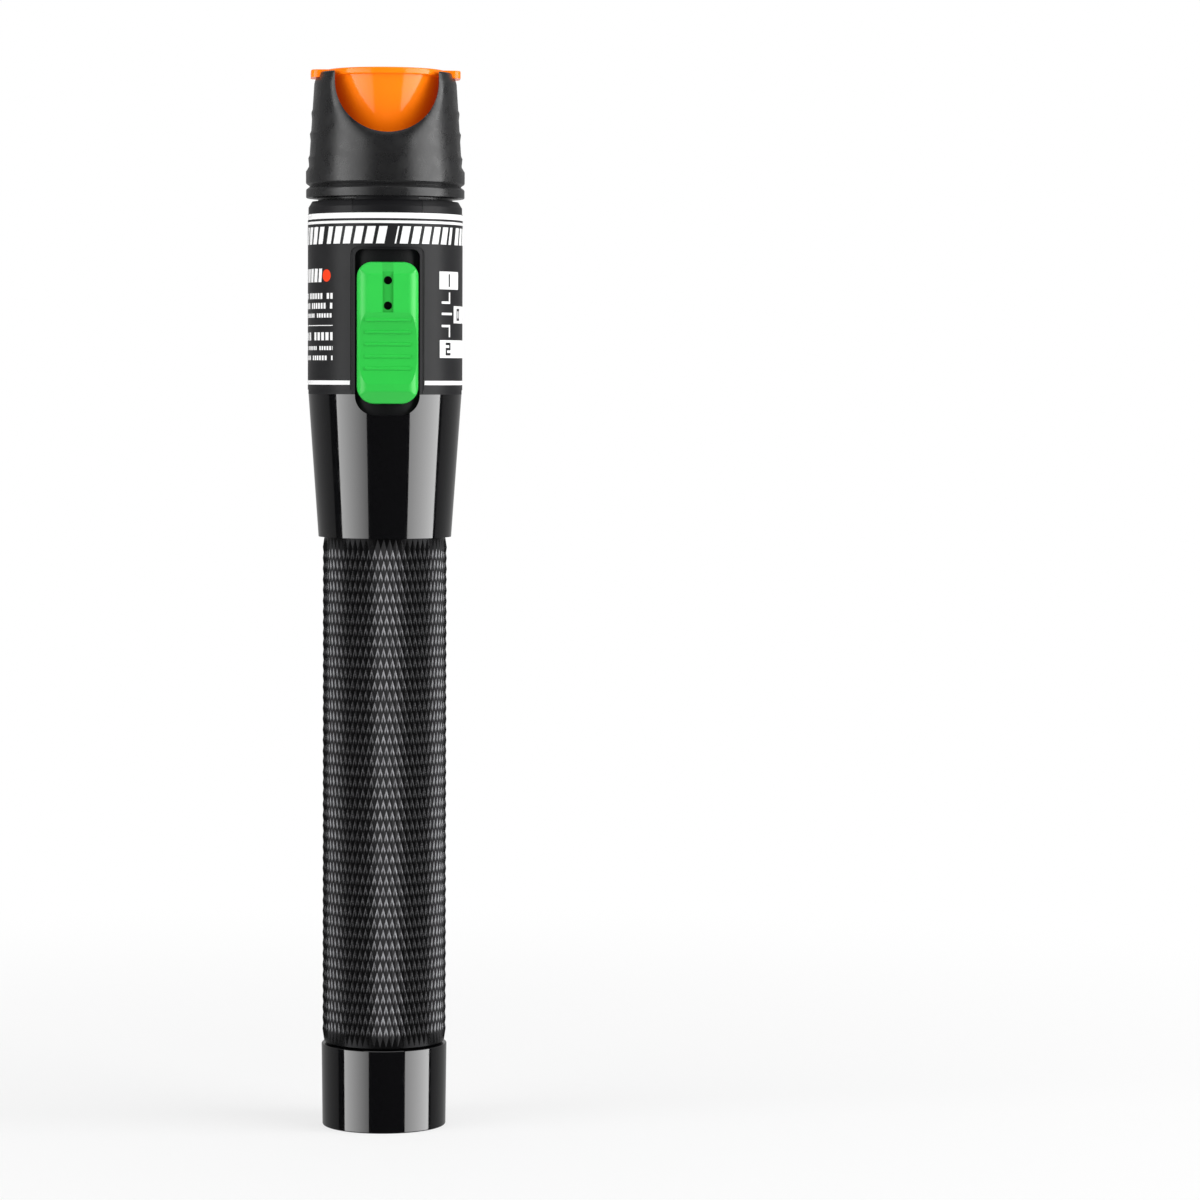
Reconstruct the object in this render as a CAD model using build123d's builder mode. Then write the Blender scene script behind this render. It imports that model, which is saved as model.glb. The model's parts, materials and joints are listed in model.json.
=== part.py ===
"""Visual fault locator pen: a battery torch that sends red light down a 2.5 mm fibre ferrule.

The pen stands on its tail cap with +Z along its axis and the thumb slider to the front (-Y).
The origin is the centre of the tail cap's end face. All sizes are in millimetres.
"""
import math
import os

from build123d import *

os.makedirs("parts", exist_ok=True)

# Fits and gaps
slip_fit = 0.05  # radial gap between pieces that push together
loose_fit = 0.10  # gap round pieces that drop in
cap_seam = 0.20  # line between tail cap and grip

# Two AA cells, end to end
cell_radius = 7.1
cell_length = 50.5
cell_nub_radius = 2.75
cell_nub_height = 1.0
cell_edge = 0.6
cell_count = 2

# Tail cap with its screwed spigot, contact and conical spring
cap_length = 13.7
cap_foot_radius = 10.27
cap_top_radius = 10.42
cap_floor = 1.6
cap_foot_round = 0.8
cap_top_bevel = 0.25
spigot_length = 7.3
spigot_radius = 8.8
cell_clearance = 0.3
groove_depth = 0.8
groove_width = 1.0
groove_offset = 0.7
ring_section = 0.4
tail_contact_radius = 6.4
contact_thickness = 0.4
spring_height = 6.3
spring_wire = 0.35
spring_foot_radius = 5.8
spring_tip_radius = 3.2
spring_pitch = 1.4

# Knurled grip tube
knurl_tip_radius = 10.28
knurl_depth = 0.36
knurl_around = 36
knurl_cell_height = 5.2
knurl_end_gap = 0.3
tube_core_undercut = 0.06
tube_spigot_radius = 10.0
tube_spigot_length = 14.05
thread_relief = 0.5
tube_end_bevel = 0.3

# Contact at the front of the cells and its insulating holder
front_contact_radius = 5.0
holder_thickness = 2.5
lead_width = 2.0
lead_thickness = 0.3
lead_overlap = 0.9

# Tapered sleeve
sleeve_length = 23.55
sleeve_foot_radius = 10.99
sleeve_top_radius = 12.66
sleeve_foot_bevel = 0.2
sleeve_notch_bevel = 0.3
sleeve_web = 2.6
sleeve_web_radius = 6.5

# Upper body, its printed wrap and the neck under the crown
body_radius = 12.68
body_header = 8.05
body_bore_radius = 11.3
body_foot_bore_radius = 10.3
body_foot_band = 2.0
body_spigot_inset = 0.2
body_top_bevel = 0.6
body_top_bevel_height = 1.0
wrap_thickness = 0.08
wrap_glue = 0.02
wrap_bottom_margin = 0.7
wrap_top_margin = 2.05
wrap_cut_half_width = 6.0
wrap_cut_above_window = 0.4
neck_gap = 0.6

# Switch bezel, slider and slide switch
bezel_half_width = 5.72
bezel_rail = 0.44
bezel_flange_half_width = 7.0
bezel_flange_top = 2.7
bed_thickness = 0.85
bed_tail = 1.1
tongue_half_width = 5.1
tongue_drop = 0.15
window_top_round = 1.2
window_bottom_round = 3.2
slider_length = 23.0
slider_half_width = 4.97
slider_overhang = 1.5
slider_travel = 1.8
slider_foot_clearance = 0.1
slider_top_clearance = 0.3
slider_top_round = 2.4
slider_bottom_round = 2.8
slider_rim_round = 0.5
slider_bed_gap = 0.15
slider_crest = 14.4
slider_edge_crest = 13.1
slider_flat_half_width = 3.2
slider_end_crest = 12.9
slider_end_ramp = 2.0
scoop_top = 3.3
scoop_length = 11.6
scoop_depth = 0.85
rib_count = 5
rib_pitch = 1.98
rib_top = 2.1
rib_radius = 0.3
rib_sink = 0.08
rib_half_width = 3.75
channel_half_width = 0.875
channel_depth = 0.35
dimple_radius = 0.65
dimple_depth = 0.9
dimple_heights = (8.5, 4.4)
boss_half_width = 1.5
boss_half_height = 2.0
boss_inner_reach = 8.4
boss_slot_clearance = 0.2
clip_half_width = 2.0
clip_height = 0.7
clip_thickness = 0.6
switch_half_width = 3.3
switch_half_height = 5.0
switch_depth = 3.7
switch_wall = 0.9
switch_bevel = 0.3
lever_half_size = 0.9
lever_reach = 9.9
lever_foot_half_width = 2.2
lever_foot_half_height = 1.8
lever_foot_thickness = 1.6

# Inner frame, circuit board and what it carries
frame_radius = 10.2
frame_wall = 1.0
frame_edge_y = -1.5
frame_top_gap = 0.1
frame_boss_radius = 1.8
board_thickness = 1.2
board_half_width = 9.6
board_foot_gap = 1.2
board_top_gap = 1.5
board_screw_inset = 3.6
screw_radius = 0.8
screw_head_radius = 1.4
screw_head_height = 0.8
screw_depth = 5.0
screw_slot = 0.35
chip_length = 4.9
chip_width = 3.9
chip_height = 1.4
chip_bevel = 0.25
chip_x = -6.35
chip_height_on_board = 9.6
chip_leg_pitch = 1.27
chip_leg_width = 0.42
chip_leg_reach = 1.0
chip_leg_thickness = 0.22
# Small parts on the board: half width, half height, thickness, x, height above the board's foot
small_parts = (
    (0.8, 0.45, 0.55, -6.2, 2.2),
    (0.8, 0.45, 0.55, -6.2, 4.2),
    (0.8, 0.45, 0.55, 6.2, 2.6),
    (1.6, 1.6, 1.8, 6.4, 6.6),
    (1.0, 0.6, 0.9, -6.4, 14.6),
    (1.0, 0.6, 0.9, -6.4, 17.0),
    (0.8, 0.45, 0.55, 6.2, 11.0),
    (0.8, 0.45, 0.55, 6.2, 13.0),
    (1.2, 0.7, 1.0, 6.2, 16.4),
)

# Crown, a moulded head with finger notches front and back and ear notches at the sides
crown_spigot_length = 4.95
crown_spigot_gap = 0.2
crown_spigot_wall = 1.2
bead_radius = 13.07
bead_height = 1.4
bead_bevel = 0.2
groove_floor_radius = 12.4
groove_height = 1.0
ring_radius = 13.1
ring_height = 1.95
crown_cone_height = 14.5
crown_shoulder_radius = 11.73
crown_tip_height = 1.7
crown_tip_radius = 11.2
crown_tip_round = 0.4
well_radius = 10.1
well_floor_height = 6.05
panel_half_angle = 25.0
panel_step_radius = 12.67
panel_step_height = 0.8
side_rib_crests = (12.72, 12.46, 12.22)
side_rib_heights = (6.55, 10.55, 14.05)
side_rib_reach = 1.1
side_rib_back = 0.5
notch_radius = 8.5
notch_lip = 0.4
ear_notch_half_width = 3.5
ear_notch_depth = 0.95

# Dust cap, a conical cup with two ears
cap_rim_radius = 9.95
cap_rim_height = 1.1
cap_rim_proud = 0.45
cap_rim_round = 0.3
cup_mouth_radius = 9.3
cup_foot_radius = 6.4
cup_height = 10.85
cup_wall = 1.0
cup_floor = 1.2
cup_socket_wall = 1.0
ear_half_width = 3.3
ear_reach = 12.3
ear_thickness = 1.25
ear_round = 1.4
ear_edge_round = 0.2
ear_seat_gap = 0.1

# Laser barrel, diode, lens and ferrule port
barrel_radius = 4.3
barrel_flange_radius = 9.75
barrel_flange_height = 1.4
barrel_tail = 3.4
diode_base_radius = 2.8
diode_base_height = 1.2
diode_can_radius = 2.35
diode_can_height = 3.0
diode_setback = 0.6
diode_lead_radius = 0.225
diode_lead_pitch = 1.27
diode_lead_reach = 1.6
aperture_radius = 1.2
lens_radius = 2.95
lens_thickness = 2.0
lens_edge = 1.2
lens_seat_depth = 3.9
port_flange_radius = 7.0
port_flange_height = 1.2
port_boss_radius = 3.4
port_boss_height = 7.3
port_lip = 0.6
port_screw_offset = 5.6
port_screw_depth = 3.0
sleeve_bore_radius = 1.25
ceramic_radius = 1.65
ceramic_slit = 0.3
fibre_hole_radius = 0.9

# Heights along the axis, stacked from the tail's end face
spring_bottom = cap_floor + contact_thickness
cell_bottom = spring_bottom + spring_height
cells_top = cell_bottom + cell_count * cell_length
holder_bottom = cells_top + contact_thickness
tube_top = holder_bottom + holder_thickness
grip_bottom = cap_length + cap_seam
knurl_top = tube_top - tube_spigot_length
sleeve_top = knurl_top + sleeve_length
web_top = tube_top + sleeve_web
slider_bottom = sleeve_top - slider_overhang
slider_centre = slider_bottom + slider_length / 2
slider_top = slider_bottom + slider_length
window_bottom = slider_bottom - slider_travel - slider_foot_clearance
window_top = slider_top + slider_travel + slider_top_clearance
body_top = window_top + body_header
body_length = body_top - sleeve_top
crown_bottom = body_top + neck_gap
groove_bottom = crown_bottom + bead_height
ring_bottom = groove_bottom + groove_height
ring_top = ring_bottom + ring_height
crown_shoulder = ring_top + crown_cone_height
crown_top = crown_shoulder + crown_tip_height
well_floor = crown_bottom + well_floor_height
cap_rim_top = crown_top + cap_rim_proud
cap_rim_bottom = cap_rim_top - cap_rim_height
cup_bottom = cap_rim_bottom - cup_height
port_top = well_floor + port_flange_height + port_boss_height

# Radii and depths that follow from their neighbours
cell_bore = cell_radius + cell_clearance
tube_counterbore = spigot_radius + loose_fit
sleeve_bore = tube_spigot_radius + slip_fit
body_spigot_radius = body_bore_radius - slip_fit
sleeve_counterbore = body_spigot_radius + loose_fit
window_half_width = bezel_half_width - bezel_rail
bed_outer = body_bore_radius - slip_fit
bed_inner = bed_outer - bed_thickness
slider_underside = bed_outer + slider_bed_gap
board_front_y = frame_edge_y - board_thickness
crown_spigot_radius = body_bore_radius - crown_spigot_gap
crown_spigot_bore = crown_spigot_radius - crown_spigot_wall
barrel_bottom = crown_bottom - barrel_flange_height - barrel_tail
front_reach = ear_reach + ring_radius  # a length that clears the whole pen from its axis


def turned(*points):
    """Half section drawn as (radius, height) points, ready to be revolved about Z."""
    with BuildSketch(Plane.XZ) as section:
        with BuildLine():
            Polyline(*points, close=True)
        make_face()
    return section.sketch


def strip(outer, inner, half_width):
    """Front part of a ring between two radii, as wide as the switch window or its bezel."""
    with BuildSketch() as section:
        Circle(outer)
        Circle(inner, mode=Mode.SUBTRACT)
        with Locations((0, -outer / 2)):
            Rectangle(2 * half_width, outer, mode=Mode.INTERSECT)
    return section.sketch


def upright_window(half_width, bottom, top, bottom_round, top_round):
    """Front view of a window or of the slider, with its own corner radii at each end."""
    with BuildSketch(Plane.XZ) as outline:
        with Locations((0, (bottom + top) / 2)):
            Rectangle(2 * half_width, top - bottom)
        if bottom_round:
            fillet(outline.vertices().group_by(Axis.Y)[0], bottom_round)
        if top_round:
            fillet(outline.vertices().group_by(Axis.Y)[-1], top_round)
    return outline.sketch


def axis_distance(edge):
    """Distance from the pen's axis to the middle of an edge."""
    middle = edge.position_at(0.5)
    return math.hypot(middle.X, middle.Y)


def save(piece, name):
    """Label the finished piece and write its file."""
    piece.part.label = name
    export_step(piece.part, f"parts/{name}.step")


# Tail cap: a screwed cup whose floor is the pen's foot
with BuildPart() as tail_cap:
    spigot_top = cap_length + spigot_length
    revolve(
        turned(
            (0, 0),
            (cap_foot_radius, 0),
            (cap_top_radius, cap_length),
            (spigot_radius, cap_length),
            (spigot_radius, spigot_top),
            (cell_bore, spigot_top),
            (cell_bore, cap_floor),
            (0, cap_floor),
        ),
        axis=Axis.Z,
    )
    rims = tail_cap.edges().filter_by(GeomType.CIRCLE)
    fillet(rims.group_by(Axis.Z)[0], cap_foot_round)
    shoulder = tail_cap.edges().filter_by(GeomType.CIRCLE).filter_by(lambda e: e.radius > spigot_radius + 1)
    chamfer(shoulder.sort_by(Axis.Z)[-1], cap_top_bevel)
    with BuildSketch(Plane.XY.offset(cap_length + groove_offset)):
        Circle(spigot_radius)
        Circle(spigot_radius - groove_depth, mode=Mode.SUBTRACT)
    extrude(amount=groove_width, mode=Mode.SUBTRACT)
save(tail_cap, "tail_cap")

# Rubber ring that seals and steadies the cap's thread
with BuildPart() as tail_o_ring:
    ring_centre = spigot_radius - groove_depth + ring_section + slip_fit / 2
    with Locations((0, 0, cap_length + groove_offset + groove_width / 2)):
        Torus(ring_centre, ring_section)
save(tail_o_ring, "tail_o_ring")

# Pressed disc that the spring stands on
with BuildPart() as tail_contact:
    with BuildSketch(Plane.XY.offset(cap_floor)):
        Circle(tail_contact_radius)
    extrude(amount=contact_thickness)
    chamfer(tail_contact.edges().group_by(Axis.Z)[-1], contact_thickness / 4)
save(tail_contact, "tail_contact")

# Conical spring, wide at the cap and narrow under the rear cell
with BuildPart() as tail_spring:
    coil_height = spring_height - 2 * spring_wire - slip_fit
    coil_slope = math.degrees(math.atan((spring_foot_radius - spring_tip_radius) / coil_height))
    coil_foot = (0, 0, spring_bottom + spring_wire)
    with BuildLine() as coil:
        Helix(spring_pitch, coil_height, spring_foot_radius, center=coil_foot, cone_angle=-coil_slope)
    with BuildSketch(Plane(origin=coil.line @ 0, z_dir=coil.line % 0)):
        Circle(spring_wire)
    sweep(is_frenet=True)
save(tail_spring, "tail_spring")

# Battery cells, each with its positive nub towards the head
for index, cell_name in enumerate(("battery_rear", "battery_front")):
    bottom = cell_bottom + index * cell_length
    shoulder_height = bottom + cell_length - cell_nub_height
    with BuildPart() as battery:
        revolve(
            turned(
                (0, bottom),
                (cell_radius - cell_edge, bottom),
                (cell_radius, bottom + cell_edge),
                (cell_radius, shoulder_height - cell_edge),
                (cell_radius - cell_edge, shoulder_height),
                (cell_nub_radius, shoulder_height),
                (cell_nub_radius, bottom + cell_length),
                (0, bottom + cell_length),
            ),
            axis=Axis.Z,
        )
    save(battery, cell_name)


def knurled_band(bottom, top):
    """Solid of the grip's diamond knurl: a lattice of low pyramids, every other point raised."""
    columns = 2 * knurl_around
    levels = 2 * max(1, round((top - bottom) / knurl_cell_height))

    def point(column, level):
        raised = (column + level) % 2
        radius = knurl_tip_radius if raised else knurl_tip_radius - knurl_depth
        angle = 2 * math.pi * column / columns
        return (radius * math.cos(angle), radius * math.sin(angle), bottom + (top - bottom) * level / levels)

    facets = []
    for column in range(columns):
        for level in range(levels + 1):
            if (column + level) % 2 == 0:
                continue
            tip = point(column, level)
            for neighbour in (level - 1, level + 1):
                if 0 <= neighbour <= levels:
                    end = point(column, neighbour)
                    for side in (point(column - 1, level), point(column + 1, level)):
                        facets.append(Face(Wire.make_polygon([tip, side, end])))
    for level in (0, levels):
        facets.append(Face(Wire.make_polygon([point(column, level) for column in range(columns)])))
    return Solid(Shell(facets))


# Grip tube: knurled outside, threaded at the tail, plain where the sleeve goes over it
with BuildPart() as grip_tube:
    core_radius = knurl_tip_radius - knurl_depth - tube_core_undercut
    revolve(
        turned(
            (0, grip_bottom),
            (core_radius - tube_end_bevel, grip_bottom),
            (core_radius, grip_bottom + tube_end_bevel),
            (core_radius, knurl_top),
            (tube_spigot_radius, knurl_top),
            (tube_spigot_radius, tube_top),
            (0, tube_top),
        ),
        axis=Axis.Z,
    )
    add(knurled_band(grip_bottom + knurl_end_gap, knurl_top))
    with BuildSketch(Plane.XY.offset(grip_bottom)):
        Circle(tube_counterbore)
    extrude(amount=spigot_length - cap_seam + thread_relief, mode=Mode.SUBTRACT)
    with BuildSketch(Plane.XY.offset(grip_bottom)):
        Circle(cell_bore)
    extrude(amount=tube_top - grip_bottom, mode=Mode.SUBTRACT)
save(grip_tube, "grip_tube")

# Positive contact plate and the insulating holder that backs it
with BuildPart() as front_contact:
    with BuildSketch(Plane.XY.offset(cells_top)):
        Circle(front_contact_radius)
    extrude(amount=contact_thickness)
save(front_contact, "front_contact")

lead_y = frame_edge_y + lead_thickness / 2
with BuildPart() as contact_holder:
    with BuildSketch(Plane.XY.offset(holder_bottom)):
        Circle(cell_bore - slip_fit)
        with Locations((0, lead_y)):
            Rectangle(lead_width + 2 * loose_fit, lead_thickness + 2 * loose_fit, mode=Mode.SUBTRACT)
    extrude(amount=holder_thickness)
save(contact_holder, "contact_holder")

# Strip that carries current from the contact plate to the back of the board
with BuildPart() as contact_lead:
    with BuildSketch(Plane.XY.offset(holder_bottom)):
        with Locations((0, lead_y)):
            Rectangle(lead_width, lead_thickness)
    extrude(amount=web_top + board_foot_gap + lead_overlap - holder_bottom)
save(contact_lead, "contact_lead")

# Tapered sleeve: pushed over the tube, its inner web stops the tube and the contact holder
window_view = upright_window(
    window_half_width, window_bottom, window_top, window_bottom_round, window_top_round
)
with BuildPart() as cone_sleeve:
    revolve(
        turned(
            (sleeve_bore, knurl_top),
            (sleeve_foot_radius - sleeve_foot_bevel, knurl_top),
            (sleeve_foot_radius, knurl_top + sleeve_foot_bevel),
            (sleeve_top_radius, sleeve_top),
            (sleeve_counterbore, sleeve_top),
            (sleeve_counterbore, web_top),
            (sleeve_web_radius, web_top),
            (sleeve_web_radius, tube_top),
            (sleeve_bore, tube_top),
        ),
        axis=Axis.Z,
    )
    extrude(window_view, amount=front_reach, mode=Mode.SUBTRACT)
    outer_edges = cone_sleeve.edges().filter_by(lambda edge: axis_distance(edge) > sleeve_counterbore)
    notch_edges = outer_edges.filter_by(
        lambda edge: window_bottom - loose_fit < edge.center().Z < sleeve_top - loose_fit
    )
    chamfer(notch_edges.filter_by(lambda edge: edge.center().Y < 0), sleeve_notch_bevel)
save(cone_sleeve, "cone_sleeve")

# Upper body: a tube open down its front for the bezel, with a spigot into the sleeve
spigot_bottom = web_top + body_spigot_inset
with BuildPart() as upper_body:
    revolve(
        turned(
            (body_foot_bore_radius, spigot_bottom),
            (body_spigot_radius, spigot_bottom),
            (body_spigot_radius, sleeve_top),
            (body_radius, sleeve_top),
            (body_radius, body_top - body_top_bevel_height),
            (body_radius - body_top_bevel, body_top),
            (body_bore_radius, body_top),
            (body_bore_radius, sleeve_top + body_foot_band),
            (body_foot_bore_radius, sleeve_top + body_foot_band),
        ),
        axis=Axis.Z,
    )
    with BuildSketch(Plane.XY.offset(spigot_bottom)):
        with Locations((0, -front_reach / 2)):
            Rectangle(2 * (bezel_half_width + slip_fit), front_reach)
    extrude(amount=body_top - spigot_bottom, mode=Mode.SUBTRACT)
save(upper_body, "upper_body")

# Printed wrap: one film round the body, cut out in front for the switch
with BuildPart() as label_wrap:
    wrap_inner = body_radius + wrap_glue
    with BuildSketch(Plane.XY.offset(sleeve_top + wrap_bottom_margin)):
        Circle(wrap_inner + wrap_thickness)
        Circle(wrap_inner, mode=Mode.SUBTRACT)
    extrude(amount=body_length - wrap_bottom_margin - wrap_top_margin)
    wrap_cut_top = window_top + wrap_cut_above_window
    extrude(
        upright_window(wrap_cut_half_width, sleeve_top, wrap_cut_top, 0, window_top_round),
        amount=front_reach,
        mode=Mode.SUBTRACT,
    )
save(label_wrap, "label_wrap")

# Switch bezel: rails flush with the body, a bed behind the slider and a tongue into the crown
with BuildPart() as switch_bezel:
    revolve(
        turned(
            (bed_outer - slip_fit, sleeve_top),
            (body_radius, sleeve_top),
            (body_radius, body_top - body_top_bevel_height),
            (body_radius - body_top_bevel, body_top),
            (bed_outer - slip_fit, body_top),
        ),
        axis=Axis.Z,
    )
    with BuildSketch(Plane.XY.offset(sleeve_top)):
        with Locations((0, -front_reach / 2)):
            Rectangle(2 * bezel_half_width, front_reach)
    extrude(amount=body_length, mode=Mode.INTERSECT)
    extrude(window_view, amount=front_reach, mode=Mode.SUBTRACT)
    flange_bottom = sleeve_top + body_foot_band + slip_fit
    with BuildSketch(Plane.XY.offset(flange_bottom)):
        add(strip(bed_outer, bed_inner, bezel_flange_half_width))
    extrude(amount=window_top + bezel_flange_top - flange_bottom)
    with BuildSketch(Plane.XY.offset(window_bottom - bed_tail)):
        add(strip(bed_outer, bed_inner, bezel_half_width - loose_fit))
    extrude(amount=flange_bottom - window_bottom + bed_tail)
    with BuildSketch(Plane.XY.offset(body_top)):
        add(strip(body_radius - tongue_drop - body_top_bevel, bed_outer - slip_fit, tongue_half_width))
    extrude(amount=neck_gap)
    slot_half_height = boss_half_height + slider_travel + boss_slot_clearance
    slot_half_width = boss_half_width + boss_slot_clearance
    slot_bottom = slider_centre - slot_half_height
    slot_top = slider_centre + slot_half_height
    extrude(
        upright_window(slot_half_width, slot_bottom, slot_top, 0, 0),
        amount=front_reach,
        mode=Mode.SUBTRACT,
    )
save(switch_bezel, "switch_bezel")

# Circle of the finger scoop, seen from the side
scoop_radius = ((scoop_length / 2) ** 2 + scoop_depth**2) / (2 * scoop_depth)
scoop_middle = slider_centre + scoop_top - scoop_length / 2
scoop_axis = slider_crest - scoop_depth + scoop_radius


def scoop_reach(height):
    """Distance of the scooped face from the pen's axis at a height."""
    return scoop_axis - math.sqrt(scoop_radius**2 - (height - scoop_middle) ** 2)


# Thumb slider: crowned shell with a channel above and a ribbed finger scoop below
with BuildPart() as switch_slider:
    with BuildSketch(Plane.YZ.offset(-slider_half_width)):
        with BuildLine():
            Polyline(
                (-slider_crest, slider_bottom + slider_end_ramp),
                (-slider_end_crest, slider_bottom),
                (0, slider_bottom),
                (0, slider_top),
                (-slider_end_crest, slider_top),
                (-slider_crest, slider_top - slider_end_ramp),
                close=True,
            )
        make_face()
    extrude(amount=2 * slider_half_width)
    with BuildSketch(Plane.XY.offset(slider_bottom)):
        with BuildLine():
            Polyline(
                (slider_flat_half_width, -slider_crest),
                (-slider_flat_half_width, -slider_crest),
            )
            TangentArc(
                (-slider_flat_half_width, -slider_crest),
                (-slider_half_width, -slider_edge_crest),
                tangent=(-1, 0),
            )
            Polyline(
                (-slider_half_width, -slider_edge_crest),
                (-slider_half_width, 0),
                (slider_half_width, 0),
                (slider_half_width, -slider_edge_crest),
            )
            TangentArc(
                (slider_flat_half_width, -slider_crest),
                (slider_half_width, -slider_edge_crest),
                tangent=(1, 0),
            )
        make_face()
        Circle(slider_underside, mode=Mode.SUBTRACT)
    extrude(amount=slider_length, mode=Mode.INTERSECT)
    extrude(
        upright_window(slider_half_width, slider_bottom, slider_top, slider_bottom_round, slider_top_round),
        amount=front_reach,
        mode=Mode.INTERSECT,
    )
    rim = switch_slider.edges().filter_by(
        lambda edge: -slider_crest < edge.position_at(0.5).Y < -slider_underside
    )
    side_rim = rim.filter_by(lambda edge: abs(edge.position_at(0.5).X) > slider_flat_half_width)
    end_rim = rim.filter_by(lambda edge: abs(edge.position_at(0.5).X) < slider_flat_half_width)
    fillet(list(side_rim) + list(end_rim), slider_rim_round)
    with BuildSketch(Plane.YZ.offset(-slider_half_width)):
        with Locations((-scoop_axis, scoop_middle)):
            Circle(scoop_radius)
    extrude(amount=2 * slider_half_width, mode=Mode.SUBTRACT)
    for rib in range(rib_count):
        rib_height = slider_centre + rib_top - rib * rib_pitch
        rib_reach = scoop_reach(rib_height) + rib_sink
        with BuildSketch(Plane.YZ.offset(-rib_half_width)):
            with Locations((-rib_reach + 2 * rib_sink, rib_height)):
                Circle(rib_radius)
        extrude(amount=2 * rib_half_width)
    with BuildSketch(Plane.XZ.offset(slider_crest - channel_depth)):
        with Locations((0, slider_centre + scoop_top + (slider_length / 2 - scoop_top) / 2)):
            Rectangle(2 * channel_half_width, slider_length / 2 - scoop_top)
    extrude(amount=front_reach, mode=Mode.SUBTRACT)
    with BuildSketch(Plane.XZ.offset(slider_crest - dimple_depth - channel_depth)):
        with Locations(*[(0, slider_centre + height) for height in dimple_heights]):
            Circle(dimple_radius)
    extrude(amount=front_reach, mode=Mode.SUBTRACT)
    with BuildSketch(Plane.XZ.offset(boss_inner_reach)):
        with Locations((0, slider_centre)):
            Rectangle(2 * boss_half_width, 2 * boss_half_height)
    extrude(amount=slider_underside + slider_bed_gap - boss_inner_reach)
    clip_front = math.sqrt(bed_inner**2 - clip_half_width**2) - loose_fit
    with BuildSketch(Plane.XZ.offset(clip_front - clip_thickness)):
        for end in (-1, 1):
            with Locations((0, slider_centre + end * (boss_half_height - clip_height / 2))):
                Rectangle(2 * clip_half_width, clip_height)
    extrude(amount=clip_thickness)
    with BuildSketch(Plane.XZ.offset(boss_inner_reach)):
        with Locations((0, slider_centre)):
            Rectangle(2 * (lever_half_size + loose_fit), 2 * (lever_half_size + loose_fit))
    extrude(amount=lever_reach + loose_fit - boss_inner_reach, mode=Mode.SUBTRACT)
save(switch_slider, "switch_slider")

# Slide switch on the board: a box with a slot for its lever
switch_front = switch_depth - board_front_y
cavity_half_height = lever_foot_half_height + slider_travel + loose_fit
with BuildPart() as slide_switch:
    with BuildSketch(Plane.XZ.offset(-board_front_y)):
        with Locations((0, slider_centre)):
            Rectangle(2 * switch_half_width, 2 * switch_half_height)
    extrude(amount=switch_depth)
    chamfer(slide_switch.edges().group_by(Axis.Y)[0], switch_bevel)
    with BuildSketch(Plane.XZ.offset(-board_front_y + switch_wall)):
        with Locations((0, slider_centre)):
            Rectangle(2 * (lever_foot_half_width + loose_fit), 2 * cavity_half_height)
    extrude(amount=switch_depth - 2 * switch_wall, mode=Mode.SUBTRACT)
    with BuildSketch(Plane.XZ.offset(-board_front_y + switch_wall)):
        with Locations((0, slider_centre)):
            slot_reach = lever_half_size + slider_travel + loose_fit
            Rectangle(2 * (lever_half_size + loose_fit), 2 * slot_reach)
    extrude(amount=switch_depth, mode=Mode.SUBTRACT)
save(slide_switch, "slide_switch")

# Lever: its foot slides in the switch and its stem sits in the slider's boss
with BuildPart() as switch_lever:
    foot_back = switch_wall + loose_fit - board_front_y
    with BuildSketch(Plane.XZ.offset(foot_back)):
        with Locations((0, slider_centre)):
            Rectangle(2 * lever_foot_half_width, 2 * lever_foot_half_height)
    extrude(amount=lever_foot_thickness)
    with BuildSketch(Plane.XZ.offset(foot_back)):
        with Locations((0, slider_centre)):
            Rectangle(2 * lever_half_size, 2 * lever_half_size)
    extrude(amount=lever_reach - foot_back)
save(switch_lever, "switch_lever")

# Inner frame: a trough behind the board, standing on the sleeve's web
frame_top = crown_bottom - crown_spigot_length - frame_top_gap
board_bottom = web_top + board_foot_gap
board_top = frame_top - board_top_gap
board_screw_heights = (board_bottom + board_screw_inset, board_top - board_screw_inset)
with BuildPart() as inner_frame:
    with BuildSketch(Plane.XY.offset(web_top)):
        Circle(frame_radius)
        Circle(frame_radius - frame_wall, mode=Mode.SUBTRACT)
        with Locations((0, frame_edge_y + frame_radius)):
            Rectangle(2 * frame_radius, 2 * frame_radius, mode=Mode.INTERSECT)
    extrude(amount=frame_top - web_top)
    with BuildSketch(Plane.XZ.offset(-frame_edge_y)):
        with Locations(*[(0, height) for height in board_screw_heights]):
            Circle(frame_boss_radius)
    extrude(amount=frame_edge_y - frame_radius + frame_wall / 2)
    with BuildSketch(Plane.XZ.offset(-frame_edge_y)):
        with Locations(*[(0, height) for height in board_screw_heights]):
            Circle(screw_radius + slip_fit)
    extrude(amount=-screw_depth, mode=Mode.SUBTRACT)
save(inner_frame, "inner_frame")

# Circuit board, resting on the trough's edges
with BuildPart() as circuit_board:
    with BuildSketch(Plane.XZ.offset(-frame_edge_y)) as board_outline:
        with Locations((0, (board_bottom + board_top) / 2)):
            Rectangle(2 * board_half_width, board_top - board_bottom)
        fillet(board_outline.vertices(), screw_radius)
        with Locations(*[(0, height) for height in board_screw_heights]):
            Circle(screw_radius + slip_fit, mode=Mode.SUBTRACT)
    extrude(amount=board_thickness)
save(circuit_board, "circuit_board")

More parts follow.
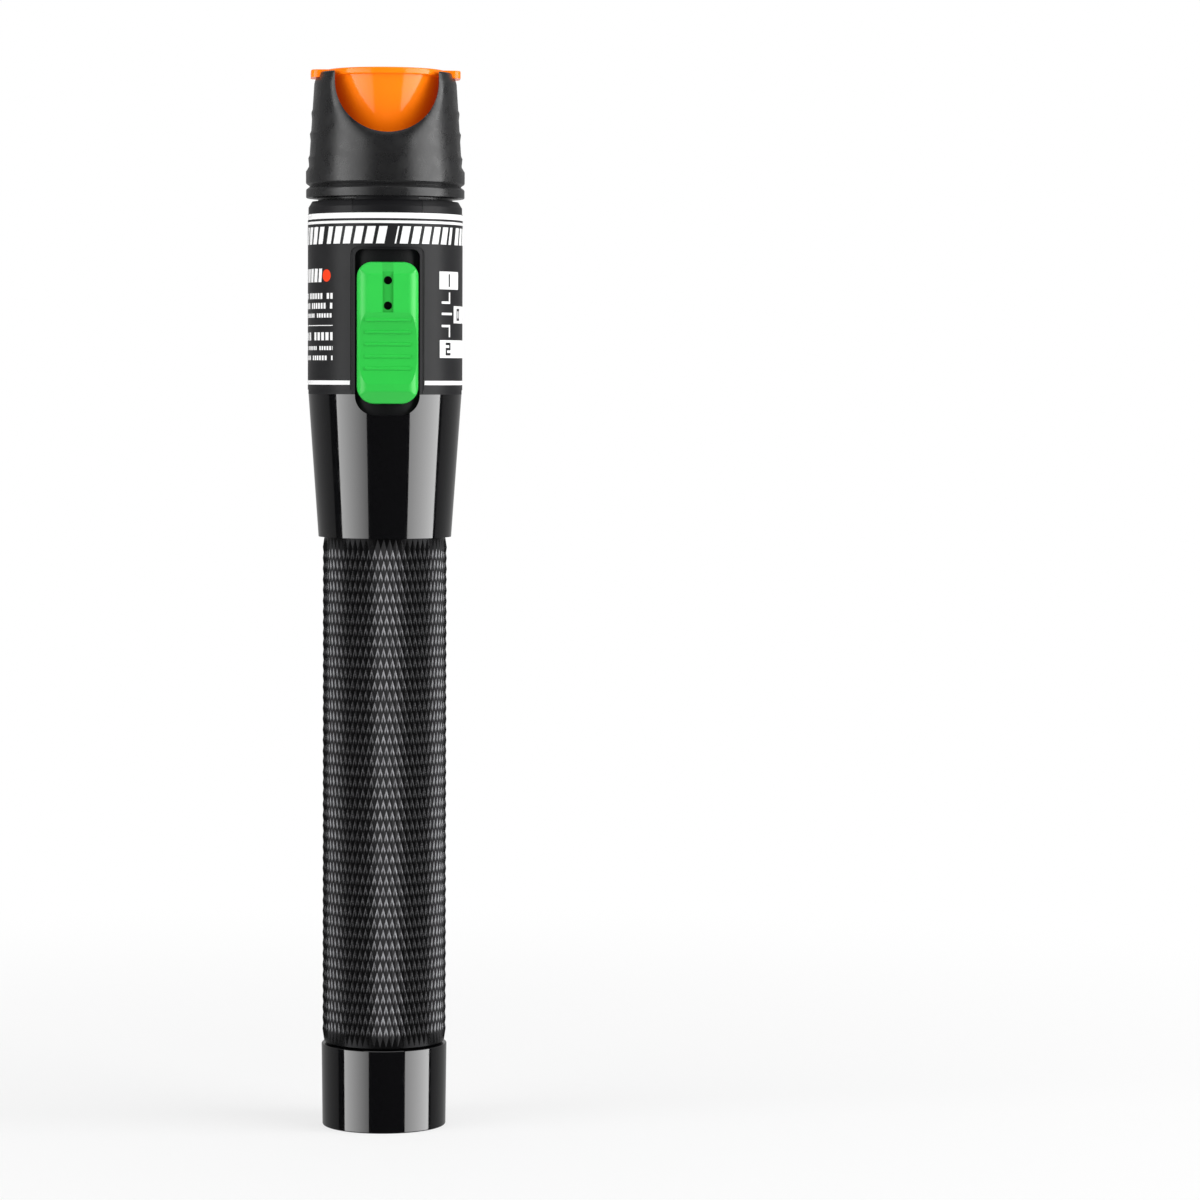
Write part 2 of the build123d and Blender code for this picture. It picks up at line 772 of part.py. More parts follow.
# Two pan-head screws that hold the board to the frame
with BuildPart() as board_screws:
    for height in board_screw_heights:
        with BuildSketch(Plane.XZ.offset(-board_front_y)):
            with Locations((0, height)):
                Circle(screw_head_radius)
        extrude(amount=screw_head_height)
        with BuildSketch(Plane.XZ.offset(-board_front_y)):
            with Locations((0, height)):
                Circle(screw_radius)
        extrude(amount=loose_fit - screw_depth)
        with BuildSketch(Plane.XZ.offset(screw_head_height / 2 - board_front_y)):
            with Locations((0, height)):
                Rectangle(2 * screw_head_radius, screw_slot)
        extrude(amount=screw_head_height, mode=Mode.SUBTRACT)
save(board_screws, "board_screws")

# Laser driver: an eight-leg chip beside the switch
chip_centre = board_bottom + chip_height_on_board
with BuildPart() as driver_chip:
    with BuildSketch(Plane.XZ.offset(chip_leg_thickness - board_front_y)):
        with Locations((chip_x, chip_centre)):
            Rectangle(chip_width, chip_length)
    extrude(amount=chip_height)
    chamfer(driver_chip.edges().group_by(Axis.Y)[0], chip_bevel)
    with BuildSketch(Plane.XZ.offset(-board_front_y)):
        with Locations((chip_x, chip_centre)):
            with GridLocations(chip_width + chip_leg_reach, chip_leg_pitch, 2, 4):
                Rectangle(chip_leg_reach + 2 * slip_fit, chip_leg_width)
    extrude(amount=chip_leg_thickness + chip_height / 3)
save(driver_chip, "driver_chip")

# Capacitors, resistors and an inductor on the board, as one group of separate solids
with BuildPart() as board_components:
    for half_width, half_height, thickness, across, up in small_parts:
        with BuildSketch(Plane.XZ.offset(-board_front_y)):
            with Locations((across, board_bottom + up)):
                Rectangle(2 * half_width, 2 * half_height)
        extrude(amount=thickness)
save(board_components, "board_components")

# Laser barrel: a turned holder under the crown's web, for the diode behind and the lens in front
barrel_top = well_floor - loose_fit
diode_seat = barrel_bottom + diode_setback + diode_base_height
lens_seat = barrel_top - lens_seat_depth
aperture_bottom = diode_seat + diode_can_height + loose_fit
with BuildPart() as laser_barrel:
    revolve(
        turned(
            (diode_base_radius + slip_fit, barrel_bottom),
            (barrel_radius, barrel_bottom),
            (barrel_radius, crown_bottom - barrel_flange_height),
            (barrel_flange_radius, crown_bottom - barrel_flange_height),
            (barrel_flange_radius, crown_bottom),
            (barrel_radius, crown_bottom),
            (barrel_radius, barrel_top),
            (lens_radius + slip_fit, barrel_top),
            (lens_radius + slip_fit, lens_seat),
            (aperture_radius, lens_seat),
            (aperture_radius, aperture_bottom),
            (diode_can_radius + slip_fit, aperture_bottom),
            (diode_can_radius + slip_fit, diode_seat),
            (diode_base_radius + slip_fit, diode_seat),
        ),
        axis=Axis.Z,
    )
save(laser_barrel, "laser_barrel")

# Laser diode in its can, with three leads down the back of the board
with BuildPart() as laser_diode:
    diode_bottom = diode_seat - diode_base_height
    with BuildSketch(Plane.XY.offset(diode_bottom)):
        Circle(diode_base_radius)
    extrude(amount=diode_base_height)
    with BuildSketch(Plane.XY.offset(diode_seat)):
        Circle(diode_can_radius)
    extrude(amount=diode_can_height)
    lead_length = diode_bottom - board_top + diode_lead_reach
    with BuildSketch(Plane.XY.offset(diode_bottom)):
        with Locations((0, frame_edge_y + diode_lead_radius + slip_fit)):
            with GridLocations(diode_lead_pitch, 0, 3, 1):
                Circle(diode_lead_radius)
    extrude(amount=-lead_length)
save(laser_diode, "laser_diode")

# Collimating lens, domed on both faces
with BuildPart() as collimating_lens:
    lens_dome = (lens_thickness - lens_edge) / 2
    lens_middle = lens_seat + lens_thickness / 2
    with BuildSketch(Plane.XZ):
        with BuildLine():
            low_rim = (lens_radius, lens_middle - lens_edge / 2)
            high_rim = (lens_radius, lens_middle + lens_edge / 2)
            low_pole = (0, lens_middle - lens_thickness / 2)
            high_pole = (0, lens_middle + lens_thickness / 2)
            RadiusArc(low_pole, low_rim, -(lens_radius**2 + lens_dome**2) / (2 * lens_dome))
            Line(low_rim, high_rim)
            RadiusArc(high_rim, high_pole, -(lens_radius**2 + lens_dome**2) / (2 * lens_dome))
            Line(high_pole, low_pole)
        make_face()
    revolve(axis=Axis.Z)
save(collimating_lens, "collimating_lens")

# Ferrule port: a flanged boss screwed to the floor of the crown's well
port_flange_top = well_floor + port_flange_height
with BuildPart() as ferrule_port:
    ceramic_bore = ceramic_radius + slip_fit
    revolve(
        turned(
            (fibre_hole_radius, well_floor),
            (port_flange_radius, well_floor),
            (port_flange_radius, port_flange_top),
            (port_boss_radius, port_flange_top),
            (port_boss_radius, port_top),
            (sleeve_bore_radius + loose_fit, port_top),
            (sleeve_bore_radius + loose_fit, port_top - port_lip),
            (ceramic_bore, port_top - port_lip),
            (ceramic_bore, well_floor + port_lip),
            (fibre_hole_radius, well_floor + port_lip),
        ),
        axis=Axis.Z,
    )
    with Locations((port_screw_offset, 0, port_flange_top), (-port_screw_offset, 0, port_flange_top)):
        Hole(screw_radius + slip_fit, port_flange_height)
save(ferrule_port, "ferrule_port")

# Split ceramic sleeve that lines the ferrule up with the beam
with BuildPart() as ceramic_sleeve:
    ceramic_bottom = well_floor + port_lip
    ceramic_length = port_top - port_lip - ceramic_bottom
    with BuildSketch(Plane.XY.offset(ceramic_bottom)):
        Circle(ceramic_radius)
        Circle(sleeve_bore_radius, mode=Mode.SUBTRACT)
        with Locations((0, ceramic_radius / 2)):
            Rectangle(ceramic_slit, ceramic_radius, mode=Mode.SUBTRACT)
    extrude(amount=ceramic_length)
save(ceramic_sleeve, "ceramic_sleeve")

# Two screws that hold the port down
with BuildPart() as port_screws:
    for side in (-port_screw_offset, port_screw_offset):
        with BuildSketch(Plane.XY.offset(port_flange_top - port_flange_height - port_screw_depth)):
            with Locations((side, 0)):
                Circle(screw_radius)
        extrude(amount=port_flange_height + port_screw_depth)
        with BuildSketch(Plane.XY.offset(port_flange_top)):
            with Locations((side, 0)):
                Circle(screw_head_radius)
                Rectangle(screw_slot, 2 * screw_head_radius, mode=Mode.SUBTRACT)
        extrude(amount=screw_head_height)
save(port_screws, "port_screws")


def side_panel_plane(angle):
    """Upright plane through the axis, turned to where a side panel begins."""
    turn = math.radians(angle)
    return Plane(
        origin=(0, 0, 0),
        x_dir=(math.cos(turn), math.sin(turn), 0),
        z_dir=(math.sin(turn), -math.cos(turn), 0),
    )


def panel_radius(height):
    """Radius of the recessed side panels between the ring and the crown's shoulder."""
    share = (height - ring_top) / (crown_shoulder - ring_top)
    return panel_step_radius + (crown_shoulder_radius - panel_step_radius) * share


# Crown: beaded foot, tapered head, finger notches and recessed side panels with ribs
with BuildPart() as head_crown:
    revolve(
        turned(
            (crown_spigot_bore, crown_bottom - crown_spigot_length),
            (crown_spigot_radius, crown_bottom - crown_spigot_length),
            (crown_spigot_radius, crown_bottom),
            (bead_radius - bead_bevel, crown_bottom),
            (bead_radius, crown_bottom + bead_bevel),
            (bead_radius, groove_bottom - bead_bevel),
            (groove_floor_radius, groove_bottom + groove_height / 2),
            (ring_radius, ring_bottom),
            (ring_radius, ring_top),
            (crown_shoulder_radius, crown_shoulder),
            (crown_tip_radius, crown_top),
            (well_radius, crown_top),
            (well_radius, well_floor),
            (barrel_radius + slip_fit, well_floor),
            (barrel_radius + slip_fit, crown_bottom),
            (crown_spigot_bore, crown_bottom),
        ),
        axis=Axis.Z,
    )
    with BuildSketch(Plane.XZ):
        with Locations((0, crown_shoulder)):
            Circle(notch_radius)
        with Locations((0, crown_shoulder + notch_radius)):
            Rectangle(2 * notch_radius, 2 * notch_radius)
    extrude(amount=front_reach, both=True, mode=Mode.SUBTRACT)
    wall_middle = (well_radius + crown_tip_radius) / 2
    cut_edges = head_crown.edges().filter_by(lambda edge: edge.geom_type != GeomType.CIRCLE)
    outer_lips = cut_edges.filter_by(lambda edge: axis_distance(edge) > wall_middle)
    fillet(outer_lips.filter_by(lambda edge: edge.center().Z > ring_top), notch_lip)
    fillet(head_crown.edges().group_by(Axis.Z)[-1], crown_tip_round)
    for start_angle in (-panel_half_angle, 180 - panel_half_angle):
        with BuildSketch(side_panel_plane(start_angle)) as panel_section:
            with BuildLine():
                rib_points = []
                for crest, rib_up in zip(side_rib_crests, side_rib_heights):
                    middle = crown_bottom + rib_up
                    rib_points.append((panel_radius(middle - side_rib_reach), middle - side_rib_reach))
                    rib_points.append((crest, middle))
                    rib_points.append((panel_radius(middle + side_rib_back), middle + side_rib_back))
                Polyline(
                    (ring_radius, ring_top),
                    (panel_radius(ring_top + panel_step_height), ring_top + panel_step_height),
                    *rib_points,
                    (crown_shoulder_radius, crown_shoulder),
                    (ring_radius + 1, crown_shoulder),
                    (ring_radius + 1, ring_top),
                    close=True,
                )
            make_face()
        revolve(axis=Axis.Z, revolution_arc=2 * panel_half_angle, mode=Mode.SUBTRACT)
    with BuildSketch(Plane.YZ):
        with Locations((0, crown_top)):
            Rectangle(2 * ear_notch_half_width, 2 * ear_notch_depth)
    extrude(amount=front_reach, both=True, mode=Mode.SUBTRACT)
    with BuildSketch(Plane.XY.offset(well_floor - port_screw_depth - loose_fit)):
        with Locations((-port_screw_offset, 0), (port_screw_offset, 0)):
            Circle(screw_radius + slip_fit)
    extrude(amount=port_screw_depth + loose_fit, mode=Mode.SUBTRACT)
save(head_crown, "head_crown")

# Dust cap: conical cup with a socket over the port and two ears that lie in the crown
socket_bore = port_boss_radius + loose_fit
socket_top = port_top + loose_fit + cup_socket_wall
cup_floor_top = cup_bottom + cup_floor
cup_slope = (cup_mouth_radius - cup_foot_radius) / cup_height
ear_bottom = crown_top - ear_notch_depth + ear_seat_gap
with BuildPart() as dust_cap:
    revolve(
        turned(
            (socket_bore, cup_bottom),
            (cup_foot_radius, cup_bottom),
            (cup_mouth_radius, cap_rim_bottom),
            (cap_rim_radius, cap_rim_bottom),
            (cap_rim_radius, cap_rim_top),
            (cup_mouth_radius - cup_wall + cup_slope * cap_rim_height, cap_rim_top),
            (cup_foot_radius - cup_wall + cup_slope * cup_floor, cup_floor_top),
            (socket_bore + cup_socket_wall, cup_floor_top),
            (socket_bore + cup_socket_wall, socket_top),
            (0, socket_top),
            (0, socket_top - cup_socket_wall),
            (socket_bore, socket_top - cup_socket_wall),
        ),
        axis=Axis.Z,
    )
    round_edges = dust_cap.edges().filter_by(GeomType.CIRCLE)
    fillet(round_edges.filter_by(lambda edge: edge.radius > cup_mouth_radius + slip_fit), cap_rim_round)
    for side in (-1, 1):
        with BuildSketch(Plane.XY.offset(ear_bottom)) as ear:
            ear_root = cup_mouth_radius - cup_wall / 2
            with Locations((side * (ear_root + ear_reach) / 2, 0)):
                Rectangle(ear_reach - ear_root, 2 * ear_half_width)
            fillet(ear.vertices().group_by(Axis.X)[0 if side < 0 else -1], ear_round)
        extrude(amount=ear_thickness)
    ear_top = ear_bottom + ear_thickness
    top_edges = dust_cap.edges().filter_by(lambda edge: abs(edge.center().Z - ear_top) < slip_fit)
    fillet(top_edges.filter_by(lambda edge: axis_distance(edge) > cap_rim_radius), ear_edge_round)
save(dust_cap, "dust_cap")
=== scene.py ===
# %% [markdown]
# # A fibre fault locator pen, dressed in Blender
# The CAD model gives every piece its real size and place. This lesson adds what a camera sees: the fine
# knurl, the printed film, satin and gloss plastics, soft edges, and a small photo studio round the pen.
# The pen stands on its tail cap. Its axis is Z, and its thumb slider faces -Y.

# %% Load the fixed frame
import json
import math

import bpy
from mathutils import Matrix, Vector


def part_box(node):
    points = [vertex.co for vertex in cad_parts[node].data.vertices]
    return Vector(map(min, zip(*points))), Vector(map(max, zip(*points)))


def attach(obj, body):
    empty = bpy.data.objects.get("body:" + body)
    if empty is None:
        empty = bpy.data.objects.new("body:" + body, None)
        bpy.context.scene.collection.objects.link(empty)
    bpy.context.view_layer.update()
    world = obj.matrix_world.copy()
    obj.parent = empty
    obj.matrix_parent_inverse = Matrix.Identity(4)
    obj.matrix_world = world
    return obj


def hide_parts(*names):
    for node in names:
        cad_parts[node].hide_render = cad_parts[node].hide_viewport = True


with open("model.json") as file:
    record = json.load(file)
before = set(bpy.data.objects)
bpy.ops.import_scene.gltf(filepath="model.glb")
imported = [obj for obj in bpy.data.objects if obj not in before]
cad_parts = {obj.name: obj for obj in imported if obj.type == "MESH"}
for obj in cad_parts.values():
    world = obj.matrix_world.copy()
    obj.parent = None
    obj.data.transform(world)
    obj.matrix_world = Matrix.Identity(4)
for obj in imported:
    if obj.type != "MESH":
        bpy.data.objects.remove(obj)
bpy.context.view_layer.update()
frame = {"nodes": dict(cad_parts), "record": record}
mm = 0.001
print("nodes in the frame:", len(frame["nodes"]))


# %% [markdown]
# Every size below is read from the frame where a CAD piece already has it. They could be typed in again,
# but a copied number stays behind when the model changes. A node's box gives its lowest and highest
# corner.

# %% Read the pen's main heights and radii
def low(node):
    """Height of a node's lowest point, in mm."""
    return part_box(node)[0].z / mm


def high(node):
    """Height of a node's highest point, in mm."""
    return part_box(node)[1].z / mm


def reach(node):
    """Largest distance of a node from the pen's axis, measured along X, in mm."""
    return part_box(node)[1].x / mm


pen_top = high("dust_cap")
sleeve_bottom = low("cone_sleeve")
sleeve_top = high("cone_sleeve")
body_top = high("upper_body")
print("pen height in mm:", round(pen_top, 2), "sleeve", round(sleeve_bottom, 2), "to", round(sleeve_top, 2))

# %% [markdown]
# ## The camera
# A pen in a catalogue is shot through a long lens, so its sides stay almost parallel. To place it left of
# the centre, the camera could look straight at it and shift its lens, but a shift slides every other view
# as well. So the camera stands a little above the pen's middle and turns slightly to the right and down.

# %% Place the camera
camera_distance = 694 * mm
camera_height = 125 * mm
camera_side = math.radians(1.8)
camera_turn = math.radians(2.939)
camera_dip = math.radians(3.08)
camera_roll = math.radians(-0.246)
lens_length = 125.38
bpy.ops.object.camera_add(
    location=(
        -camera_distance * math.sin(camera_side),
        -camera_distance * math.cos(camera_side),
        camera_height,
    ),
    rotation=(math.radians(90) - camera_dip, camera_roll, -camera_side - camera_turn),
)
camera = bpy.context.object
camera.name = "studio_camera"
camera.data.lens = lens_length
camera.data.sensor_width = 36
bpy.context.scene.camera = camera
print("camera at", [round(v / mm, 1) for v in camera.location], "mm")

# %% [markdown]
# ## Shader maths that reads like maths
# A material is a graph of nodes. Each node could be added and linked by hand, but long graphs are hard to
# read as calls. The small class below wraps one socket, so `1 - mask * 0.5` adds the Math nodes that it
# needs. Everything else comes from one method, `node`, which takes a node's type, its settings and what
# goes into its sockets.


# %% Wrap a socket so that it takes part in expressions
class Wire:
    """One output socket of a node tree, used in plain arithmetic."""

    def __init__(self, graph, socket):
        self.graph = graph
        self.socket = socket

    def __add__(self, other):
        return self.graph.maths("ADD", self, other)

    def __radd__(self, other):
        return self.graph.maths("ADD", other, self)

    def __sub__(self, other):
        return self.graph.maths("SUBTRACT", self, other)

    def __rsub__(self, other):
        return self.graph.maths("SUBTRACT", other, self)

    def __mul__(self, other):
        return self.graph.maths("MULTIPLY", self, other)

    def __rmul__(self, other):
        return self.graph.maths("MULTIPLY", other, self)

    def __truediv__(self, other):
        return self.graph.maths("DIVIDE", self, other)

    def __mod__(self, other):
        return self.graph.maths("FLOORED_MODULO", self, other)

    def __abs__(self):
        return self.graph.maths("ABSOLUTE", self)

    def __lt__(self, other):
        return self.graph.maths("LESS_THAN", self, other)

    def __gt__(self, other):
        return self.graph.maths("GREATER_THAN", self, other)


# %% One place that adds nodes
class Graph:
    """A node tree and the few calls that add to it."""

    def __init__(self, tree):
        self.tree = tree

    def join(self, value, socket):
        """Put a number, a colour or a wire into one socket."""
        if isinstance(value, Wire):
            self.tree.links.new(value.socket, socket)
        else:
            socket.default_value = value

    def node(self, kind, settings=None, inputs=None, output=0):
        """Add one node: settings first, then its sockets. Returns its output as a wire."""
        made = self.tree.nodes.new(kind)
        for key, value in (settings or {}).items():
            setattr(made, key, value)
        for key, value in (inputs or {}).items():
            self.join(value, made.inputs[key])
        return Wire(self, made.outputs[output])

    def maths(self, operation, *values):
        """Add one Math node with its one or two values."""
        return self.node("ShaderNodeMath", {"operation": operation}, dict(enumerate(values)))

    def place(self):
        """Object coordinates of the surface, in metres: the pen's own frame."""
        return self.node("ShaderNodeTexCoord", output="Object")

    def axes(self):
        """The three Object coordinates in mm, as separate wires."""
        vector = self.place()
        return [self.node("ShaderNodeSeparateXYZ", None, {0: vector}, axis) / mm for axis in "XYZ"]

    def turn(self, x, y):
        """Angle round the pen in degrees: 0 faces the front and 90 faces +X."""
        return self.maths("ARCTAN2", x, 0 - y) * (180 / math.pi)

    def noise(self, grain, detail=3.0, roughness=0.5, stretch=(1, 1, 1)):
        """Noise from 0 to 1 with grains of a size in mm, stretched per axis."""
        vector = self.node("ShaderNodeMapping", None, {"Vector": self.place(), "Scale": stretch})
        return self.node(
            "ShaderNodeTexNoise",
            None,
            {"Vector": vector, "Scale": 1 / (grain * mm), "Detail": detail, "Roughness": roughness},
        )

    def ease(self, value, start, end, low_value=0.0, high_value=1.0, kind="SMOOTHSTEP"):
        """Go from low_value to high_value while value goes from start to end."""
        return self.node(
            "ShaderNodeMapRange",
            {"interpolation_type": kind, "clamp": True},
            {"Value": value, "From Min": start, "From Max": end, "To Min": low_value, "To Max": high_value},
        )

    def between(self, value, start, end):
        """Mask that is 1 where a value lies between two limits."""
        return (value > start) * (value < end)

    def blend(self, mask, first, second):
        """Mix two colours by a mask."""
        return self.node("ShaderNodeMix", {"data_type": "RGBA"}, {"Factor": mask, 6: first, 7: second}, 2)


# %% A material is a graph that ends in a Principled shader
class Finish(Graph):
    """A material under construction."""

    def __init__(self, name, colour, roughness, metallic=0.0, **sockets):
        self.material = bpy.data.materials.new(name)
        self.material.use_nodes = True
        super().__init__(self.material.node_tree)
        self.shader = self.tree.nodes["Principled BSDF"]
        self.colour = colour
        self.set("Base Color", (*colour, 1))
        self.set("Roughness", roughness)
        self.set("Metallic", metallic)
        for socket, value in sockets.items():
            self.set(socket.replace("_", " "), value)

    def set(self, socket, value):
        """Put a number, a colour or a wire into one socket of the shader."""
        self.join(value, self.shader.inputs[socket])

    def mottle(self, mask, dark, light):
        """Let the colour drift between two shares of itself."""
        low_colour = (*[part * dark for part in self.colour], 1)
        high_colour = (*[min(1, part * light) for part in self.colour], 1)
        self.set("Base Color", self.blend(mask, low_colour, high_colour))

    def bump(self, height, depth):
        """Feed a height pattern, depth in mm from low to high, to the shader's normal."""
        self.set("Normal", self.node("ShaderNodeBump", None, {"Height": height, "Distance": depth * mm}))


print("shader helpers ready")


# %% [markdown]
# ## A small photo studio
# A glossy black tube shows nothing but its surroundings, so the studio is part of the look. Two tall soft
# boxes stand left and right of the camera and make the two pale bands down the pen. A dark screen in front
# and grey ones behind keep black between and beside the bands. Reflections alone see them: the camera sees
# plain white. Area lamps could give the same light, but a bent panel keeps one distance from the pen all
# the way round, and its glow can fade across a band. The boxes start well below the pen's foot, so the
# bands run from the tail cap up into the cup of the dust cap.

# %% Bend tall panels round the pen
def glow(name, start, end, first, last):
    """Emission that goes from one strength to another across a panel's angles."""
    material = bpy.data.materials.new(name)
    material.use_nodes = True
    graph = Graph(material.node_tree)
    material.node_tree.nodes.clear()
    x, y, z = graph.axes()
    strength = graph.ease(graph.turn(x, y), start, end, first, last, "LINEAR")
    light = graph.node("ShaderNodeEmission", None, {"Color": (1, 1, 1, 1), "Strength": strength})
    output = material.node_tree.nodes.new("ShaderNodeOutputMaterial")
    graph.join(light, output.inputs["Surface"])
    return material


def first_point(name, spot):
    """New piece of one point, open for editing."""
    bpy.ops.object.select_all(action="DESELECT")
    bpy.ops.mesh.primitive_plane_add(size=2 * mm)
    piece = bpy.context.object
    piece.name = name
    bpy.context.tool_settings.mesh_select_mode = (True, False, False)
    bpy.ops.object.mode_set(mode="EDIT")
    bpy.ops.mesh.merge(type="CENTER")
    bpy.ops.transform.translate(value=spot)
    return piece


def panel(name, start, end, first, last, radius, bottom, top):
    """Upright curved panel between two angles, in degrees from the front towards +X, sizes in mm.

    Its glow goes from the first strength to the last between these angles."""
    turn = math.radians(start)
    screen = first_point(name, (radius * mm * math.sin(turn), -radius * mm * math.cos(turn), bottom * mm))
    bpy.ops.mesh.extrude_vertices_move(TRANSFORM_OT_translate={"value": (0, 0, (top - bottom) * mm)})
    bpy.ops.mesh.select_all(action="SELECT")
    sweep = math.radians(start - end)
    bpy.ops.mesh.spin(steps=32, angle=sweep, center=(0, 0, 0), axis=(0, 0, 1))
    bpy.ops.object.mode_set(mode="OBJECT")
    screen.data.materials.append(glow(name + "_glow", start, end, first, last))
    screen.visible_camera = False
    screen.visible_shadow = False
    screen.visible_transmission = False
    return screen


print("panel helpers ready")

# %% Place the soft boxes and the screens
box_place = {"radius": 640, "bottom": -300, "top": 860}
screen_place = {"radius": 700, "bottom": -1600, "top": 1800}
soft_boxes = [
    panel("soft_box_left", -80, -30, 4.3, 1.25, **box_place),
    panel("soft_box_right", 37, 89, 2.7, 5.5, **box_place),
]
screens = [
    panel("rear_grey_left", -180, -95, 0.42, 0.12, **screen_place),
    panel("rear_grey_right", 95, 180, 0.12, 0.48, **screen_place),
    panel("dark_screen", -95, 95, 0.0, 0.0, **screen_place),
]
for screen in screens:
    screen.visible_diffuse = False
print("panels:", [item.name for item in soft_boxes + screens])


# %% [markdown]
# The floor is a wide pale disc. A bent backdrop, as in a real studio, would show its curve behind a pen
# that stands upright. So the disc is ordinary diffuse paint close to the pen, where it keeps the pen's
# shadow, and further out it turns into plain white, and no edge or horizon shows.

# %% Lay the floor
floor_radius = 6.0
floor_drop = 0.02 * mm
bpy.ops.object.select_all(action="DESELECT")
bpy.ops.mesh.primitive_circle_add(
    vertices=96, radius=floor_radius, fill_type="NGON", location=(0, 0, -floor_drop)
)
floor = bpy.context.object
floor.name = "studio_floor"
floor.visible_glossy = False
floor_paint = Finish("floor_paint", (0.86, 0.86, 0.86), 0.9)
floor_x, floor_y, _ = floor_paint.axes()
from_pen = floor_paint.maths("SQRT", floor_x * floor_x + floor_y * floor_y)
fade_start, fade_end = 30, 300
white_near_pen = 0.68
floor_fade = floor_paint.ease(from_pen, fade_start, fade_end, white_near_pen, 1.0)
floor_white = floor_paint.node("ShaderNodeEmission", None, {"Color": (1, 1, 1, 1), "Strength": 1.0})
floor_mix = floor_paint.node(
    "ShaderNodeMixShader",
    None,
    {0: floor_fade, 1: Wire(floor_paint, floor_paint.shader.outputs[0]), 2: floor_white},
)
floor_paint.join(floor_mix, floor_paint.tree.nodes["Material Output"].inputs["Surface"])
floor.data.materials.append(floor_paint.material)
print("floor fades to white from", fade_start, "to", fade_end, "mm")

# %% [markdown]
# The world is the white that the camera sees behind the pen. An evenly white world would light the pen
# from all sides and wash its shadow out, so diffuse surfaces get less than half of it, while the camera,
# reflections and clear pieces see it in full.

# %% Set the world
world = bpy.data.worlds.new("studio_world")
bpy.context.scene.world = world
world.use_nodes = True
sky = Graph(world.node_tree)
ambient_level = 0.45
seen = sky.node("ShaderNodeLightPath", output="Is Camera Ray")
mirrored = sky.node("ShaderNodeLightPath", output="Is Glossy Ray")
through = sky.node("ShaderNodeLightPath", output="Is Transmission Ray")
white_share = sky.maths("MINIMUM", seen + mirrored + through, 1.0)
backdrop = world.node_tree.nodes["Background"]
sky.join((1, 1, 1, 1), backdrop.inputs["Color"])
sky.join(ambient_level + white_share * (1 - ambient_level), backdrop.inputs["Strength"])
bpy.context.scene.view_settings.view_transform = "Standard"
print("world ready, its light on diffuse surfaces:", ambient_level)


# %% [markdown]
# ## Finishes
# The plastics and metals of this pen differ in colour, gloss and grain. Each could have its own graph, but
# two small recipes make most of them alike and keep the list short. `moulded` is a plastic with a fine
# grain and a slight drift of colour, and `machined` is a metal with fine marks along one direction.
# Special finishes, such as the printed film, get their pattern where it is drawn.

# %% Recipes for plastics and metals
def moulded(name, colour, roughness, grain=0.25, depth=0.004, drift=0.12, **sockets):
    """Plastic: fine grain in relief, gloss that varies a little, and colour that drifts."""
    finish = Finish(name, colour, roughness, 0.0, **sockets)
    cloud = finish.noise(6.0, 2.0)
    fine = finish.noise(grain, 4.0, 0.6)
    finish.mottle(cloud, 1 - drift, 1 + drift)
    finish.set("Roughness", finish.ease(fine, 0.3, 0.7, roughness * 0.9, roughness * 1.12))
    finish.bump(fine, depth)
    return finish


def machined(name, colour, roughness, stretch=(1, 1, 12), grain=0.5, depth=0.002, **sockets):
    """Metal: fine marks stretched along the pen or round it, in colour, gloss and relief."""
    finish = Finish(name, colour, roughness, 1.0, **sockets)
    marks = finish.noise(grain, 4.0, 0.6, stretch)
    finish.mottle(marks, 0.86, 1.06)
    finish.set("Roughness", finish.ease(marks, 0.3, 0.7, roughness * 0.75, roughness * 1.3))
    finish.bump(marks, depth)
    return finish


def dress(piece, finish):
    """Give a piece one finish all over."""
    if piece.material_slots:
        for item in piece.material_slots:
            item.material = finish.material
    else:
        piece.data.materials.append(finish.material)


